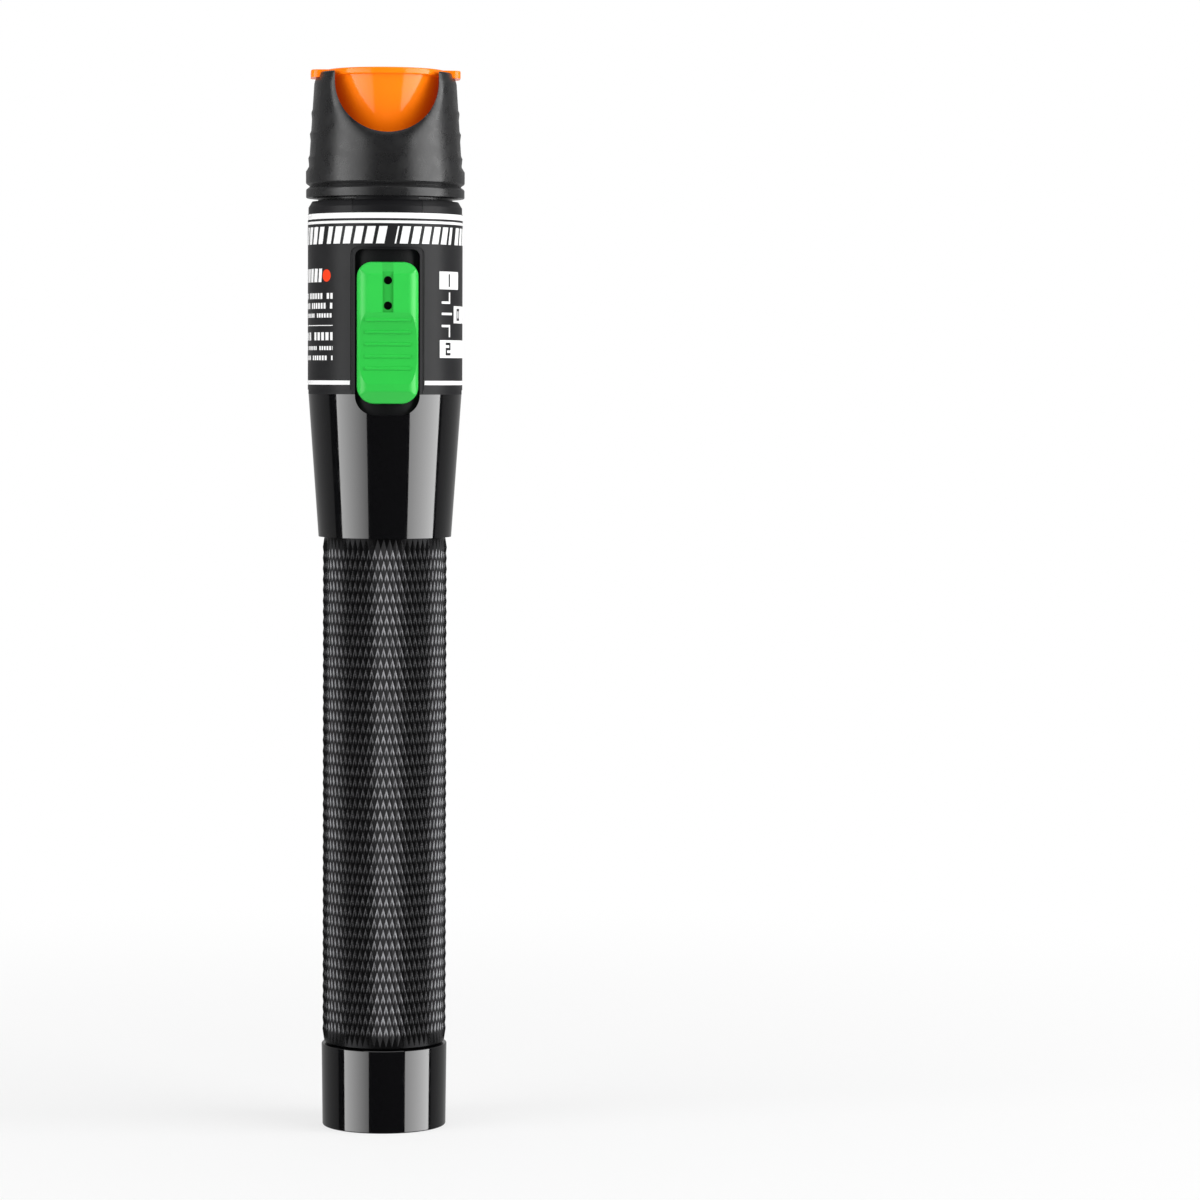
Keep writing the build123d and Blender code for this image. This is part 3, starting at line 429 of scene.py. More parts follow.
# %% Mix the finishes
finishes = {
    "seal_rubber": moulded("seal_rubber", (0.012, 0.012, 0.012), 0.55),
    "nickel_plate": machined("nickel_plate", (0.68, 0.66, 0.62), 0.22, (1, 1, 1), 1.5),
    "spring_steel": machined("spring_steel", (0.5, 0.5, 0.52), 0.3),
    "cell_jacket": moulded("cell_jacket", (0.03, 0.12, 0.38), 0.25),
    "holder_nylon": moulded("holder_nylon", (0.7, 0.68, 0.62), 0.5),
    "contact_brass": machined("contact_brass", (0.78, 0.55, 0.22), 0.25),
    "switch_housing": machined("switch_housing", (0.55, 0.55, 0.55), 0.3),
    "lever_white": moulded("lever_white", (0.75, 0.75, 0.72), 0.45),
    "frame_grey": moulded("frame_grey", (0.12, 0.12, 0.13), 0.5),
    "board_green": moulded("board_green", (0.01, 0.13, 0.045), 0.35),
    "screw_steel": machined("screw_steel", (0.5, 0.5, 0.52), 0.25, (1, 1, 1), 0.4),
    "chip_black": moulded("chip_black", (0.015, 0.015, 0.016), 0.5, 0.12),
    "component_tan": moulded("component_tan", (0.42, 0.27, 0.12), 0.4),
    "barrel_brass": machined("barrel_brass", (0.75, 0.52, 0.2), 0.25, (1, 1, 0.1)),
    "diode_gold": machined("diode_gold", (0.83, 0.6, 0.24), 0.15, (1, 1, 1), 0.6),
    "port_nickel": machined("port_nickel", (0.66, 0.65, 0.62), 0.2, (1, 1, 0.1)),
    "zirconia": moulded("zirconia", (0.85, 0.85, 0.82), 0.12),
    "matte_black_shell": moulded("matte_black_shell", (0.013, 0.013, 0.014), 0.4, IOR=1.27),
    "bezel_black": moulded("bezel_black", (0.009, 0.009, 0.01), 0.38, IOR=1.25),
    "crown_black": moulded("crown_black", (0.013, 0.013, 0.0135), 0.3, IOR=1.5),
    "green_slider": moulded("green_slider", (0.02, 0.56, 0.055), 0.36, 0.2, 0.003),
    "orange_cap": moulded("orange_cap", (0.95, 0.22, 0.004), 0.14, 0.25, 0.0015, 0.04, IOR=1.45),
    "printed_film": moulded("printed_film", (0.014, 0.014, 0.015), 0.36, 0.15, IOR=1.25),
}

# %% [markdown]
# Three finishes need more than a recipe. The lens is clear glass with a trace of haze. The sleeve and the
# tail cap are painted gloss black: a high index of refraction makes the bands bright, and a very shallow
# wave in the paint keeps them from looking ruled. The grip is anodised aluminium, partly metal and partly
# dark dye.

# %% Mix the glass, the enamel and the anodising
lens_glass = Finish("lens_glass", (0.95, 0.98, 1.0), 0.03, 0.0, Transmission_Weight=1.0, IOR=1.5)
lens_glass.set("Roughness", lens_glass.ease(lens_glass.noise(0.8), 0.4, 0.7, 0.01, 0.06))
finishes["lens_glass"] = lens_glass

enamel = Finish("gloss_black_enamel", (0.004, 0.004, 0.0045), 0.05, 0.0, IOR=1.8)
enamel_haze = enamel.noise(3.0, 4.0, 0.6)
enamel.set("Roughness", enamel.ease(enamel_haze, 0.35, 0.75, 0.045, 0.09))
enamel.bump(enamel.noise(2.2, 2.0), 0.0015)
finishes["gloss_black_enamel"] = enamel

anodised = Finish("black_anodised", (0.01, 0.01, 0.0105), 0.25, 0.65, IOR=1.2)
anodised_grain = anodised.noise(0.2, 4.0, 0.6)
anodised.set("Roughness", anodised.ease(anodised_grain, 0.3, 0.7, 0.2, 0.32))
anodised.bump(anodised_grain, 0.004)
finishes["black_anodised"] = anodised
print("finishes:", len(finishes))

# %% Dress the CAD nodes that stay as they are
for row in frame["record"]["subparts"]:
    dress(frame["nodes"][row["node"]], finishes[row["material_slot"]])


# %% [markdown]
# ## A lathe for the round pieces
# Most of the pen was turned or moulded round its axis. A cylinder could be cut into rings and each ring
# scaled, but a half section is how a turner draws such a piece. The lathe below starts from one point,
# extrudes it along the half section, and spins that line round Z. The first and last ring meet, so doubles
# are merged, and the normals are worked out again, because a spin can leave them pointing inwards.

# %% Select parts of a piece by their place
near = 0.02  # places closer than this, in mm, count as one


def pick(piece, kind, test):
    """Open a piece with only those of its vertices, edges or faces selected that pass a test."""
    bpy.ops.object.select_all(action="DESELECT")
    piece.select_set(True)
    bpy.context.view_layer.objects.active = piece
    mesh = piece.data
    for part in (*mesh.vertices, *mesh.edges, *mesh.polygons):
        part.select = False
    chosen = 0
    for part in {"VERT": mesh.vertices, "EDGE": mesh.edges, "FACE": mesh.polygons}[kind]:
        part.select = bool(test(part))
        chosen += part.select
    bpy.context.tool_settings.mesh_select_mode = (kind == "VERT", kind == "EDGE", kind == "FACE")
    bpy.ops.object.mode_set(mode="EDIT")
    return chosen


def ends(piece, edge):
    """The two end points of an edge, in mm."""
    return [piece.data.vertices[index].co / mm for index in edge.vertices]


# %% Turn a half section into a piece
def lathe(name, section, steps=192, start=0, sweep=360):
    """Piece turned from (radius, height) corners in mm, given in order round its closed half section.

    A sweep of less than 360 degrees turns clockwise from the start angle and closes both ends."""
    side = Vector((math.cos(math.radians(start)), math.sin(math.radians(start)), 0))
    corners = [side * radius * mm + Vector((0, 0, height * mm)) for radius, height in section]
    piece = first_point(name, corners[0])
    for here, there in zip(corners, corners[1:] + corners[:1]):
        bpy.ops.mesh.extrude_vertices_move(TRANSFORM_OT_translate={"value": there - here})
    bpy.ops.mesh.select_all(action="SELECT")
    bpy.ops.mesh.remove_doubles(threshold=0.001 * mm)
    if sweep < 360:
        bpy.ops.mesh.edge_face_add()
    bpy.ops.mesh.spin(steps=steps, angle=math.radians(sweep), center=(0, 0, 0), axis=(0, 0, 1))
    bpy.ops.mesh.select_all(action="SELECT")
    bpy.ops.mesh.remove_doubles(threshold=0.001 * mm)
    bpy.ops.mesh.normals_make_consistent(inside=False)
    bpy.ops.object.mode_set(mode="OBJECT")
    return piece


# %% [markdown]
# Modifiers finish a piece: a Boolean joins or cuts, and a bevel rounds the edges. They could stay live,
# but the next step often needs the points that they make, so each one is applied as soon as it is set.

# %% Apply a modifier at once
def finish_with(piece, kind, **settings):
    """Add one modifier, set it and apply it."""
    bpy.ops.object.select_all(action="DESELECT")
    piece.select_set(True)
    bpy.context.view_layer.objects.active = piece
    bpy.ops.object.modifier_add(type=kind)
    modifier = piece.modifiers[-1]
    for key, value in settings.items():
        setattr(modifier, key, value)
    bpy.ops.object.modifier_apply(modifier=modifier.name)


def combine(piece, other, operation):
    """Join another piece to this one, or cut it out of this one, then throw the other away."""
    finish_with(piece, "BOOLEAN", operation=operation, solver="EXACT", object=other)
    bpy.ops.object.select_all(action="DESELECT")
    other.select_set(True)
    bpy.ops.object.delete()


def soften(piece, width, segments=2, angle=30):
    """Round every edge sharper than an angle, shade smooth, and let the large faces set the normals."""
    finish_with(
        piece,
        "BEVEL",
        width=width * mm,
        segments=segments,
        limit_method="ANGLE",
        angle_limit=math.radians(angle),
    )
    smooth(piece)
    finish_with(piece, "WEIGHTED_NORMAL", keep_sharp=True)


def smooth(piece, angle=30):
    """Shade smooth where faces meet at less than an angle."""
    bpy.ops.object.select_all(action="DESELECT")
    piece.select_set(True)
    bpy.context.view_layer.objects.active = piece
    bpy.ops.object.shade_smooth_by_angle(angle=math.radians(angle))


# %% Put a finished piece in its CAD node's place
def place_piece(piece, node, body):
    """Let a finished piece stand for its CAD node, with the same finish, on the same body."""
    slots = {row["node"]: row["material_slot"] for row in frame["record"]["subparts"]}
    dress(piece, finishes[slots[node]])
    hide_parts(node)
    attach(piece, body)
    print(piece.name, "faces:", len(piece.data.polygons))


# %% [markdown]
# ## The knurled grip
# A knurling wheel presses two sets of crossing grooves into the tube and leaves rows of small long
# pyramids. A bump pattern would be quicker, but then the pen's outline would stay straight and no pyramid
# would catch light on its own. Here the tube is turned with one facet for each half pyramid, its side is
# cut into rows, and every other point of that lattice is lifted. The short diagonal of each quad is the
# groove, so the triangles follow it.

# %% Turn the tube
knurl_around = 64
knurl_rows = 47
knurl_depth = 0.27
knurl_tip = reach("grip_tube")
knurl_valley = knurl_tip - knurl_depth
grip_bottom = low("grip_tube")
tube_top = high("grip_tube")
seam = 0.05
knurl_start = grip_bottom + 0.35
knurl_end = sleeve_bottom - seam
foot_radius = 9.75
foot_bevel = 0.2
neck_radius = 10.0
neck_bevel = 0.3
cell_bore = 7.4
cap_bore = 8.95
cap_bore_top = 21.5
grip = lathe(
    "grip_knurled",
    [
        (cap_bore, grip_bottom),
        (foot_radius, grip_bottom),
        (knurl_valley, grip_bottom + foot_bevel),
        (knurl_valley, knurl_start),
        (knurl_valley, knurl_end),
        (neck_radius, sleeve_bottom + seam),
        (neck_radius, tube_top - neck_bevel),
        (neck_radius - neck_bevel, tube_top),
        (cell_bore, tube_top),
        (cell_bore, cap_bore_top + seam),
        (cap_bore - seam, cap_bore_top),
    ],
    steps=2 * knurl_around,
)
print("knurl from", round(knurl_start, 2), "to", round(knurl_end, 2), "mm")


# %% Cut the side into rows
def along_knurl(edge):
    """Edges that run the whole height of the plain band, where the knurl goes."""
    heights = sorted(end.z for end in ends(grip, edge))
    return abs(heights[0] - knurl_start) < near and abs(heights[1] - knurl_end) < near


uprights = pick(grip, "EDGE", along_knurl)
bpy.ops.mesh.subdivide_edgering(number_cuts=knurl_rows - 1, interpolation="LINEAR")
bpy.ops.object.mode_set(mode="OBJECT")
row_height = (knurl_end - knurl_start) / knurl_rows
print(uprights, "edges cut into", knurl_rows, "rows of", round(row_height, 2), "mm")


# %% Raise the pyramids
def pyramid_tip(vertex):
    """Every other point of the lattice, like the black squares of a chess board."""
    spot = vertex.co / mm
    row = round((spot.z - knurl_start) / row_height)
    column = round(math.atan2(spot.y, spot.x) / math.pi * knurl_around)
    outside = math.hypot(spot.x, spot.y) > knurl_valley - near
    return outside and 0 < row < knurl_rows and (row + column) % 2 == 1


lifted = pick(grip, "VERT", pyramid_tip)
lift = knurl_tip / knurl_valley
bpy.ops.transform.resize(value=(lift, lift, 1), center_override=(0, 0, 0))
bpy.ops.mesh.select_all(action="SELECT")
bpy.ops.mesh.quads_convert_to_tris(quad_method="SHORTEST_DIAGONAL")
bpy.ops.object.mode_set(mode="OBJECT")
place_piece(grip, "grip_tube", "body")
print("pyramids raised:", lifted)

# %% [markdown]
# The knurl's upper slopes catch the light from above, so each pyramid gets a small pale stroke there,
# painted into the grip's colour as a highlight. The strokes could be painted in an image, but the lattice
# is regular, so a few sums find them. A place on it is counted along its two slanting grooves, `rising`
# and `falling`, and the fractions of both tell how far a point is from each groove.

# %% Paint highlights on the upper slopes of the pyramids
painted_glints = finishes["black_anodised"]
glint_x, glint_y, glint_z = painted_glints.axes()
column = painted_glints.maths("ARCTAN2", glint_y, glint_x) * (knurl_around / math.pi)
row = (glint_z - knurl_start) / row_height
rising = 0.5 * (row + column) % 1.0
falling = 0.5 * (row - column) % 1.0
before_groove = (0.68, 0.86)
after_groove = (0.2, 0.42)
upper_right = painted_glints.ease(rising, *before_groove) * painted_glints.ease(falling, *after_groove)
upper_left = painted_glints.ease(falling, *before_groove) * painted_glints.ease(rising, *after_groove)
glint_slope = painted_glints.maths("MAXIMUM", upper_right, upper_left)
knurled = painted_glints.between(glint_z, knurl_start + row_height, knurl_end - row_height)
glint_variation = painted_glints.ease(painted_glints.noise(0.7, 2.0), 0.3, 0.6, 0.55, 1.0)
black_metal = painted_glints.blend(painted_glints.noise(4.0), (0.007, 0.007, 0.0075, 1), (0.013, 0.013, 0.0135, 1))
# Painted highlight: a pale grey stroke on each pyramid's upper slopes, where light from above catches them,
# broken up a little by noise.
painted_glint_grey = (0.14, 0.14, 0.146, 1)
painted_glints.set("Base Color", painted_glints.blend(glint_slope * knurled * glint_variation, black_metal, painted_glint_grey))
print("worn grip nodes:", len(painted_glints.tree.nodes))

# %% [markdown]
# ## The tail cap
# The cap is turned from bar, with a slight taper and a rounded foot, and painted gloss black. Its spigot
# carries a seal groove and a thread of 1 mm pitch, which shows when the cap is screwed off. Plain rings
# would look like a thread from afar, but they don't climb. So one tooth is drawn in section and screwed
# down a few turns, then the ends are cut level and closed. The thread is right-handed.

# %% Screw one tooth into a thread
flank_share = 0.32
crest_share = 0.12
root_share = 0.24


def thread(name, root, crest, bore, pitch, bottom, top):
    """Threaded ring between two heights, sizes in mm."""
    ring = first_point(name, (root * mm, 0, (top + pitch / 2) * mm))
    tooth = ((crest - root, flank_share), (0, crest_share), (root - crest, flank_share), (0, root_share))
    for out, up in tooth:
        step = (out * mm, 0, up * pitch * mm)
        bpy.ops.mesh.extrude_vertices_move(TRANSFORM_OT_translate={"value": step})
    bpy.ops.mesh.select_all(action="SELECT")
    turns = math.ceil((top - bottom) / pitch) + 3
    bpy.ops.mesh.screw(steps=72, turns=turns, center=(0, 0, 0), axis=(0, 0, -1))
    bpy.ops.mesh.select_all(action="SELECT")
    bpy.ops.mesh.remove_doubles(threshold=0.002 * mm)
    for level, from_below in ((bottom, True), (top, False)):
        bpy.ops.mesh.select_all(action="SELECT")
        bpy.ops.mesh.bisect(
            plane_co=(0, 0, level * mm),
            plane_no=(0, 0, 1),
            use_fill=True,
            clear_inner=from_below,
            clear_outer=not from_below,
            threshold=0.001 * mm,
        )
    bpy.ops.mesh.select_all(action="SELECT")
    bpy.ops.mesh.normals_make_consistent(inside=False)
    bpy.ops.object.mode_set(mode="OBJECT")
    bore_section = [(0, bottom - 1), (bore, bottom - 1), (bore, top + 1), (0, top + 1)]
    combine(ring, lathe(name + "_bore", bore_section, steps=72), "DIFFERENCE")
    return ring


# %% Turn the tail cap
cap_foot_radius = 10.27
cap_radius = 10.42
cap_length = 13.7
cap_floor = 1.6
spigot_radius = 8.8
spigot_bore = 7.4
spigot_top = high("tail_cap")
seal_groove_radius = 8.0
seal_groove_bottom = cap_length + 0.7
seal_groove_top = cap_length + 1.7
land_top = cap_length + 2.1
relief = 0.35
relief_bottom = cap_length + 2.3
cap = lathe(
    "tail_cap_turned",
    [
        (0, 0),
        (cap_foot_radius, 0),
        (cap_radius, cap_length),
        (spigot_radius, cap_length),
        (spigot_radius, seal_groove_bottom),
        (seal_groove_radius, seal_groove_bottom),
        (seal_groove_radius, seal_groove_top),
        (spigot_radius, seal_groove_top),
        (spigot_radius, land_top),
        (spigot_radius - relief, relief_bottom),
        (spigot_radius - relief, spigot_top),
        (spigot_bore, spigot_top),
        (spigot_bore, cap_floor),
        (0, cap_floor),
    ],
)
soften(cap, width=0.22, segments=3)
print("tail cap turned, height in mm:", round(spigot_top, 2))

# %% Cut its thread
thread_root = spigot_radius - 0.45
thread_bore = 7.9
thread_pitch = 1.0
thread_bottom = cap_length + 2.5
thread_top = spigot_top - 0.3
spigot_thread = thread(
    "spigot_thread", thread_root, spigot_radius, thread_bore, thread_pitch, thread_bottom, thread_top
)
combine(cap, spigot_thread, "UNION")
smooth(cap)
finish_with(cap, "WEIGHTED_NORMAL", keep_sharp=True)
place_piece(cap, "tail_cap", "tail_cap")

# %% [markdown]
# ## The tapered sleeve
# A gloss black cone joins the grip to the wider head. Its top has a shallow notch in front, where the
# slider reaches down into it. Faces of the cone could be deleted and the gap filled by hand, but then the
# rounded corners would be guesswork. The notch is cut with a rounded block, and a narrow bevel catches the
# light.


# %% Blocks that cut
def brick(first, last):
    """Block between two opposite corners, in mm."""
    size = [end - start for start, end in zip(first, last)]
    middle = [(end + start) / 2 for start, end in zip(first, last)]
    bpy.ops.object.select_all(action="DESELECT")
    bpy.ops.mesh.primitive_cube_add(size=1)
    block = bpy.context.object
    bpy.ops.object.mode_set(mode="EDIT")
    bpy.ops.transform.resize(value=[part * mm for part in size])
    bpy.ops.transform.translate(value=[part * mm for part in middle])
    bpy.ops.object.mode_set(mode="OBJECT")
    return block


def window_cutter(half_width, bottom, top, corner, front, back, segments=12):
    """Upright block from front to back with two rounded lower corners, sizes in mm."""
    block = brick((-half_width, front, bottom), (half_width, back, top))

    def lower_side(edge):
        """The two lower edges that run from front to back."""
        here, there = ends(block, edge)
        level = max(abs(here.z - bottom), abs(there.z - bottom)) < near
        return level and abs(here.y - there.y) > near

    pick(block, "EDGE", lower_side)
    bpy.ops.mesh.bevel(offset=corner * mm, offset_type="OFFSET", segments=segments, affect="EDGES")
    bpy.ops.object.mode_set(mode="OBJECT")
    return block


# %% Turn the sleeve and cut its notch
past_pen = 22
past_top = 8
room_below_slider = 1.9
window_bottom = low("switch_slider") - room_below_slider
window_half_width = 5.28
window_corner = 3.2
window_back = -2
sleeve_bore = 10.05
sleeve_foot_radius = 10.99
sleeve_head_radius = 12.66
socket_radius = 11.35
web_top = 114.8
web_hole = 6.5
sleeve = lathe(
    "sleeve_tapered",
    [
        (sleeve_bore, sleeve_bottom),
        (sleeve_foot_radius, sleeve_bottom),
        (sleeve_head_radius, sleeve_top),
        (socket_radius, sleeve_top),
        (socket_radius, web_top),
        (web_hole, web_top),
        (web_hole, tube_top),
        (sleeve_bore, tube_top),
    ],
    steps=256,
)
notch_cutter = window_cutter(
    window_half_width, window_bottom, sleeve_top + past_top, window_corner, -past_pen, window_back
)
combine(sleeve, notch_cutter, "DIFFERENCE")
soften(sleeve, width=0.16, angle=35)
place_piece(sleeve, "cone_sleeve", "body")

# %% [markdown]
# ## The printed film
# One black film goes round the body, and its CAD node stays as it is. Its print is white: two lines and a
# row of slanted bars above the switch, a line below it, three boxes with plain numbers on the right, and
# rows of small bars on the left. An image could carry it, but it would blur close up and need a picture
# file.
#
# So the print is a mask over the film. A place on it is an arc length `s` from the front, positive to the
# right, and a height `z`, both in mm. Every printed shape is a rectangle of these two, and the masks add
# up.

# %% Helpers that print bars, boxes and numbers
film_radius = reach("label_wrap")
mm_per_degree = film_radius * math.pi / 180
ink = finishes["printed_film"]
ink_x, ink_y, z = ink.axes()
s = ink.turn(ink_x, ink_y) * mm_per_degree


def block(left, right, bottom, top):
    """Printed rectangle between two arc lengths and two heights."""
    return ink.between(s, left, right) * ink.between(z, bottom, top)


def added(masks):
    """Sum of masks, held at 1 where they overlap."""
    whole = masks[0]
    for mask in masks[1:]:
        whole = whole + mask
    return ink.maths("MINIMUM", whole, 1.0)


def row_of_bars(left, right, bottom, top, pitch, share, slant, group, gap):
    """Row of bars of one pitch, in groups with a gap between them. A share of each pitch is printed.

    The slant is how far a bar leans to the right for each mm of height."""
    leaning = s - (z - bottom) * slant
    bars = (leaning % pitch) < (pitch * share)
    groups = (leaning % group) > gap
    return ink.between(leaning, left, right) * ink.between(z, bottom, top) * bars * groups


def digit(bars, left, bottom, width, height, stroke):
    """Number made of straight strokes: t, m, b across and p, q, r, w down its sides."""
    right = left + width
    top = bottom + height
    middle = bottom + height / 2
    strokes = {
        "t": (left, right, top - stroke, top),
        "m": (left, right, middle - stroke / 2, middle + stroke / 2),
        "b": (left, right, bottom, bottom + stroke),
        "p": (left, left + stroke, middle, top),
        "q": (right - stroke, right, middle, top),
        "r": (left, left + stroke, bottom, middle),
        "w": (right - stroke, right, bottom, middle),
    }
    return added([block(*strokes[bar]) for bar in bars])


# %% Print the lines and the boxes
half_round = 99
cut_side = 6.35
pointer_stroke = 0.38
pointer_start = 9.9
pointer_end = 12.15
line_shapes = [
    block(-half_round, half_round, 150.3, 151.2),
    block(-half_round, half_round, 149.5, 149.93),
    block(-half_round, -cut_side, 123.25, 123.95),
    block(cut_side, half_round, 123.25, 123.95),
]
box_shapes = [
    block(42 * mm_per_degree, 67.4 * mm_per_degree, 138.9, 141.8),
    block(59.7 * mm_per_degree, 95 * mm_per_degree, 133.4, 136.2),
    block(42.5 * mm_per_degree, 92 * mm_per_degree, 127.7, 130.6),
]
pointer_shapes = [
    block(pointer_end - pointer_stroke, pointer_end, 136.6, 138.4),
    block(pointer_start, pointer_end, 136.55, 136.55 + pointer_stroke),
    block(pointer_start, 12.7, 134.7, 134.7 + pointer_stroke),
    block(pointer_end - pointer_stroke, pointer_end, 131.1, 132.95),
    block(pointer_start, pointer_end, 133.1 - pointer_stroke, 133.1),
]
print("lines, boxes and pointers:", len(line_shapes), len(box_shapes), len(pointer_shapes))

# %% Print the rows of bars
slanted_row = row_of_bars(-19, 19, 146.2, 149.0, pitch=1.93, share=0.7, slant=0.2, group=12.3, gap=1.1)
dot_row = row_of_bars(
    -22, -12.6, 140.0, 142.2, pitch=1.5, share=0.72, slant=0.1, group=half_round, gap=0
)
rows_right = -9.8
bars_in_group = 7
gap_share = 0.8
small_rows = [
    row_of_bars(left, rows_right, bottom, top, pitch, 0.66, 0.0, pitch * bars_in_group, pitch * gap_share)
    for left, bottom, top, pitch in (
        (-23.0, 137.25, 138.2, 0.86),
        (-22.2, 135.65, 136.6, 0.8),
        (-20.5, 134.2, 134.9, 0.7),
        (-21.0, 130.5, 131.8, 1.15),
        (-22.6, 128.9, 129.55, 0.66),
        (-19.4, 127.25, 128.0, 0.78),
    )
]
rule = block(-23, rows_right, 132.85, 132.98)
white = added([*line_shapes, slanted_row, *box_shapes, *pointer_shapes, dot_row, *small_rows, rule])
print("rows of small bars:", len(small_rows))

# %% Print the numbers and the dot, and ink the film
number_stroke = 0.42
numbers = added(
    [
        digit("qw", 10.9, 139.3, 1.2, 2.1, number_stroke),
        digit("tbpqrw", 14.4, 133.8, 1.3, 2.0, number_stroke),
        digit("tqmrb", 10.9, 128.1, 1.4, 2.1, number_stroke),
    ]
)
printed = white * (1 - numbers)
dot_side = s + 11.25
dot_up = z - 141.05
dot_radius = 1.0
red = (dot_side * dot_side + dot_up * dot_up) < dot_radius**2
film_black = ink.blend(ink.noise(5.0, 2.0), (0.013, 0.013, 0.014, 1), (0.02, 0.02, 0.021, 1))
white_ink = ink.blend(ink.noise(0.4), (0.78, 0.78, 0.78, 1), (0.88, 0.88, 0.88, 1))
with_white = ink.blend(printed, film_black, white_ink)
ink.set("Base Color", ink.blend(red, with_white, (0.85, 0.05, 0.008, 1)))
ink.bump(printed * 2.0 + ink.noise(0.15, 3.0, 0.6), 0.0025)
print("print nodes:", len(ink.tree.nodes))

# %% [markdown]
# ## The crown
# The real crown is moulded in black plastic, with a wide U from front to back for a finger to reach the
# cap. Its wall could be built from flat faces and thickened, but its ribs and notches would then be hard
# to keep to size. So it starts as a solid, turned in fine rows that later leave enough points to roll an
# edge.

# %% Set the crown's heights and radii
crown_bottom = body_top + 0.6
groove_bottom = crown_bottom + 1.4
groove_middle = groove_bottom + 0.5
ring_bottom = crown_bottom + 2.4
ring_top = crown_bottom + 4.35
well_floor = crown_bottom + 6.05
shoulder = crown_bottom + 18.85
crown_top = high("head_crown")
tip_round = 0.4
edge_round = 0.16
crown_spigot_radius = 11.1
bead_radius = 13.07
groove_radius = 12.4
ring_radius = 13.1
shoulder_radius = 11.73
tip_radius = 11.2


def along(height, first, last):
    """Radius on the straight side between two (radius, height) corners."""
    return first[0] + (last[0] - first[0]) * (height - first[1]) / (last[1] - first[1])


def head_radius(height):
    """Radius of the crown's tapering outside at one height."""
    if height < shoulder:
        return along(height, (ring_radius, ring_top), (shoulder_radius, shoulder))
    return along(height, (shoulder_radius, shoulder), (tip_radius, crown_top))


print("crown from", round(crown_bottom, 2), "to", round(crown_top, 2), "mm")

# %% Turn the crown as a solid
side_rows = 44
side_top = crown_top - tip_round
side_heights = [ring_top + (side_top - ring_top) * step / side_rows for step in range(side_rows + 1)]
tip_turns = [math.radians(22.5 * step) for step in range(1, 5)]
tip_arc = [
    (head_radius(side_top) - tip_round * (1 - math.cos(turn)), crown_top - tip_round * (1 - math.sin(turn)))
    for turn in tip_turns
]
crown = lathe(
    "crown_moulded",
    [
        (0, low("head_crown")),
        (crown_spigot_radius, low("head_crown")),
        (crown_spigot_radius, crown_bottom),
        (bead_radius, crown_bottom),
        (bead_radius, groove_bottom),
        (groove_radius, groove_middle),
        (ring_radius, ring_bottom),
        *[(head_radius(height), height) for height in side_heights],
        *tip_arc,
        (0, crown_top),
    ],
)
finish_with(
    crown,
    "BEVEL",
    width=edge_round * mm,
    segments=2,
    limit_method="ANGLE",
    angle_limit=math.radians(30),
)
print("crown turned, faces:", len(crown.data.polygons))

# %% [markdown]
# The edge of the U isn't sharp: it rolls inwards over almost 2 mm, as thick mouldings do. A bevel could
# round it, but one so wide would fold where the cut meets the crown's top. Instead the points on the edge
# are drawn inwards from front and back by a twentieth, and proportional editing lets the points round them
# follow with a soft falloff.

# %% Cut the dip and roll its edge inwards
dip_radius = 8.5
dip_corner = dip_radius - 0.001
outer_band = 0.6
lip_width = 1.9
lip_share = 0.95
dip_cutter = window_cutter(
    dip_radius, shoulder - dip_radius, crown_top + past_top, dip_corner, -past_pen, past_pen, 24
)
combine(crown, dip_cutter, "DIFFERENCE")


def dip_edge(vertex):
    """Points where the dip's wall meets the crown's outside."""
    spot = vertex.co / mm
    off_line = math.hypot(spot.x, min(0, spot.z - shoulder)) - dip_radius
    outside = math.hypot(spot.x, spot.y) > head_radius(spot.z) - outer_band
    return abs(off_line) < near and outside


rolled = pick(crown, "VERT", dip_edge)
bpy.ops.transform.resize(
    value=(1, lip_share, 1),
    center_override=(0, 0, 0),
    use_proportional_edit=True,
    proportional_edit_falloff="SHARP",
    proportional_size=lip_width * mm,
)
bpy.ops.object.mode_set(mode="OBJECT")
print("points on the lip:", rolled)

# %% [markdown]
# The side panels are shallow recesses with three ribs for the fingers. They could be pushed in face by
# face, but a second lathe, swept over 50 degrees, gives the shape of what is missing, and one cut makes
# it. The ear notches, the well with its bore and the screw holes are cut the same way, last of all, so the
# rolled lip doesn't pull them out of size.

# %% Cut the side panels
panel_foot = (12.67, ring_top)
panel_head = (shoulder_radius, shoulder)
panel_step = 0.8
panel_sweep = 50
rib_rise = 1.1
rib_fall = 0.5
rib_points = []
for crest, rib_up in ((12.72, 6.55), (12.46, 10.55), (12.22, 14.05)):
    middle = crown_bottom + rib_up
    rib_points.append((along(middle - rib_rise, panel_foot, panel_head), middle - rib_rise))
    rib_points.append((crest, middle))
    rib_points.append((along(middle + rib_fall, panel_foot, panel_head), middle + rib_fall))
panel_section = [
    (ring_radius, ring_top),
    (along(ring_top + panel_step, panel_foot, panel_head), ring_top + panel_step),
    *rib_points,
    panel_head,
    (ring_radius + 1, shoulder),
    (ring_radius + 1, ring_top),
]
for start in (panel_sweep / 2, 180 + panel_sweep / 2):
    combine(crown, lathe("panel_cutter", panel_section, 24, start, panel_sweep), "DIFFERENCE")
print("ribs on each side:", len(rib_points) // 3)

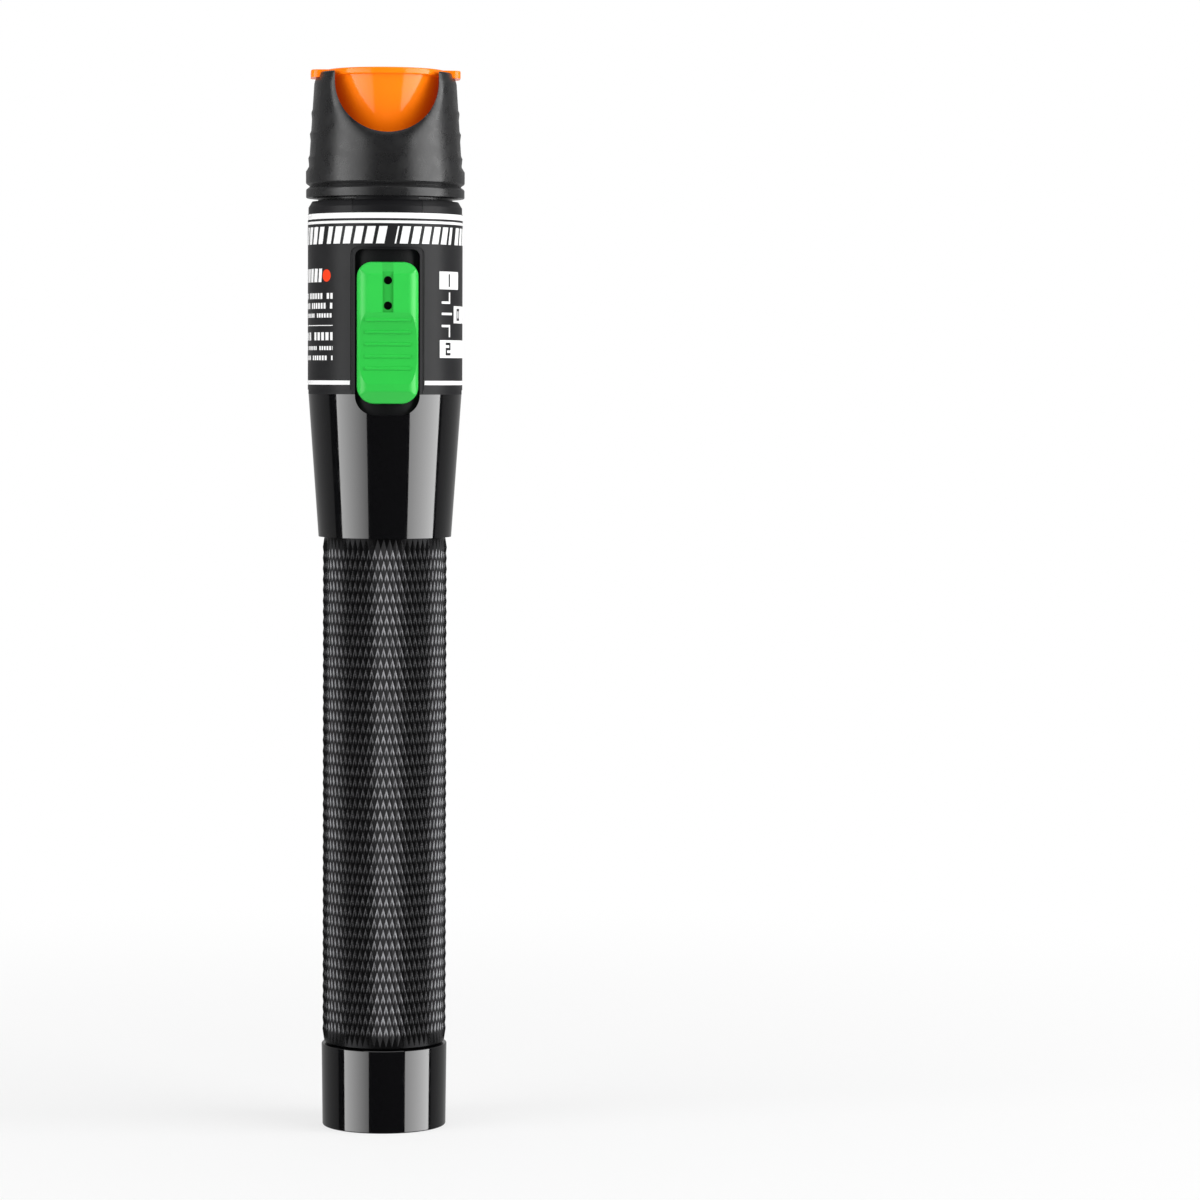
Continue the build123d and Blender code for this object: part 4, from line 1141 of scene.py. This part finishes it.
# %% Cut the notches and the bores
ear_half_width = 3.5
ear_depth = 0.95
spigot_hole = 9.9
barrel_hole = 4.35
well_radius = 10.1
well_flare = 11.3
screw_hole = 0.85
screw_depth = 3.1
screw_offset = 5.6
ear_cutter = brick(
    (-past_pen, -ear_half_width, crown_top - ear_depth), (past_pen, ear_half_width, crown_top + 1)
)
combine(crown, ear_cutter, "DIFFERENCE")
bore_section = [
    (0, low("head_crown") - 1),
    (spigot_hole, low("head_crown") - 1),
    (spigot_hole, crown_bottom),
    (barrel_hole, crown_bottom),
    (barrel_hole, well_floor),
    (well_radius, well_floor),
    (well_radius, crown_top - 0.2),
    (well_flare, crown_top + 1),
    (0, crown_top + 1),
]
combine(crown, lathe("bore_cutter", bore_section, steps=128), "DIFFERENCE")
hole_section = [
    (0, well_floor - screw_depth),
    (screw_hole, well_floor - screw_depth),
    (screw_hole, well_floor + 1),
    (0, well_floor + 1),
]
for side in (-screw_offset, screw_offset):
    hole = lathe("hole_cutter", hole_section, steps=24)
    bpy.ops.transform.translate(value=(side * mm, 0, 0))
    combine(crown, hole, "DIFFERENCE")
smooth(crown)
place_piece(crown, "head_crown", "body")

# %% [markdown]
# Moulded black plastic is never quite even: its gloss drifts and its skin has small waves. Waves could be
# sculpted, but they are far smaller than the crown's faces, so a height pattern in the material carries
# them.

# %% Let the crown's gloss and surface drift
moulding = finishes["crown_black"]
grain_height = 0.01
wave_height = 0.012
skin = moulding.noise(0.3, 4.0, 0.6) * grain_height + moulding.noise(1.6, 3.0, 0.6) * wave_height
moulding.bump(skin, 1.0)
moulding.set("Roughness", moulding.ease(moulding.noise(2.5, 4.0, 0.6), 0.35, 0.65, 0.25, 0.36))
print("crown's skin nodes:", len(moulding.tree.nodes))

# %% [markdown]
# ## The slider
# The green thumb slider keeps its CAD shape, with its scoop, ribs, channel and dimples. In so bright a
# plastic these hardly show, because light from all sides fills them. More lights could bring them out, but
# they would change every other piece as well. So its colour goes darker in the scoop and in the channel,
# and nearly black in the dimples.

# %% Shade the dimples and the channel
thumb = finishes["green_slider"]
thumb_x, thumb_y, thumb_z = thumb.axes()
thumb_middle = (low("switch_slider") + high("switch_slider")) / 2
channel_bottom = thumb_middle + 3.3
channel_half_width = 0.9
channel_reach = 14.3
shade_start = thumb_middle + 4.6
shade_full = thumb_middle + 1.0
dimple_heights = (8.5, 4.4)
dimple_reach = 14.2
dimple_area = 0.46
green = thumb.blend(thumb.noise(6.0, 2.0), (0.017, 0.5, 0.055, 1), (0.022, 0.58, 0.06, 1))
in_scoop = thumb.ease(thumb_z, shade_start, shade_full)
green = thumb.blend(in_scoop * 0.3, green, (0.012, 0.4, 0.035, 1))
across_channel = thumb.between(abs(thumb_x), -1, channel_half_width)
in_channel = across_channel * (thumb_z > channel_bottom) * (abs(thumb_y) < channel_reach)
green = thumb.blend(in_channel * 0.26, green, (0.004, 0.2, 0.012, 1))
for height in dimple_heights:
    off = thumb_z - (thumb_middle + height)
    hole = ((thumb_x * thumb_x + off * off) < dimple_area) * (abs(thumb_y) < dimple_reach)
    green = thumb.blend(hole, green, (0.004, 0.012, 0.005, 1))
thumb.set("Base Color", green)
print("slider nodes:", len(thumb.tree.nodes))

# %% [markdown]
# ## The dust cap
# The orange cap is thin plastic, and light that enters it comes out again all over. Subsurface scattering
# is the full way to show that, but it is slow and noisy in so small a cup. A weak red glow does nearly the
# same: the shaded sides turn deep orange instead of brown.

# %% Let the cap glow
glow_cap = finishes["orange_cap"]
glow_strength = 0.22
glow_cap.set("Emission Color", (1.0, 0.06, 0.001, 1))
glow_cap.set("Emission Strength", glow_strength)
print("cap's glow:", glow_strength)
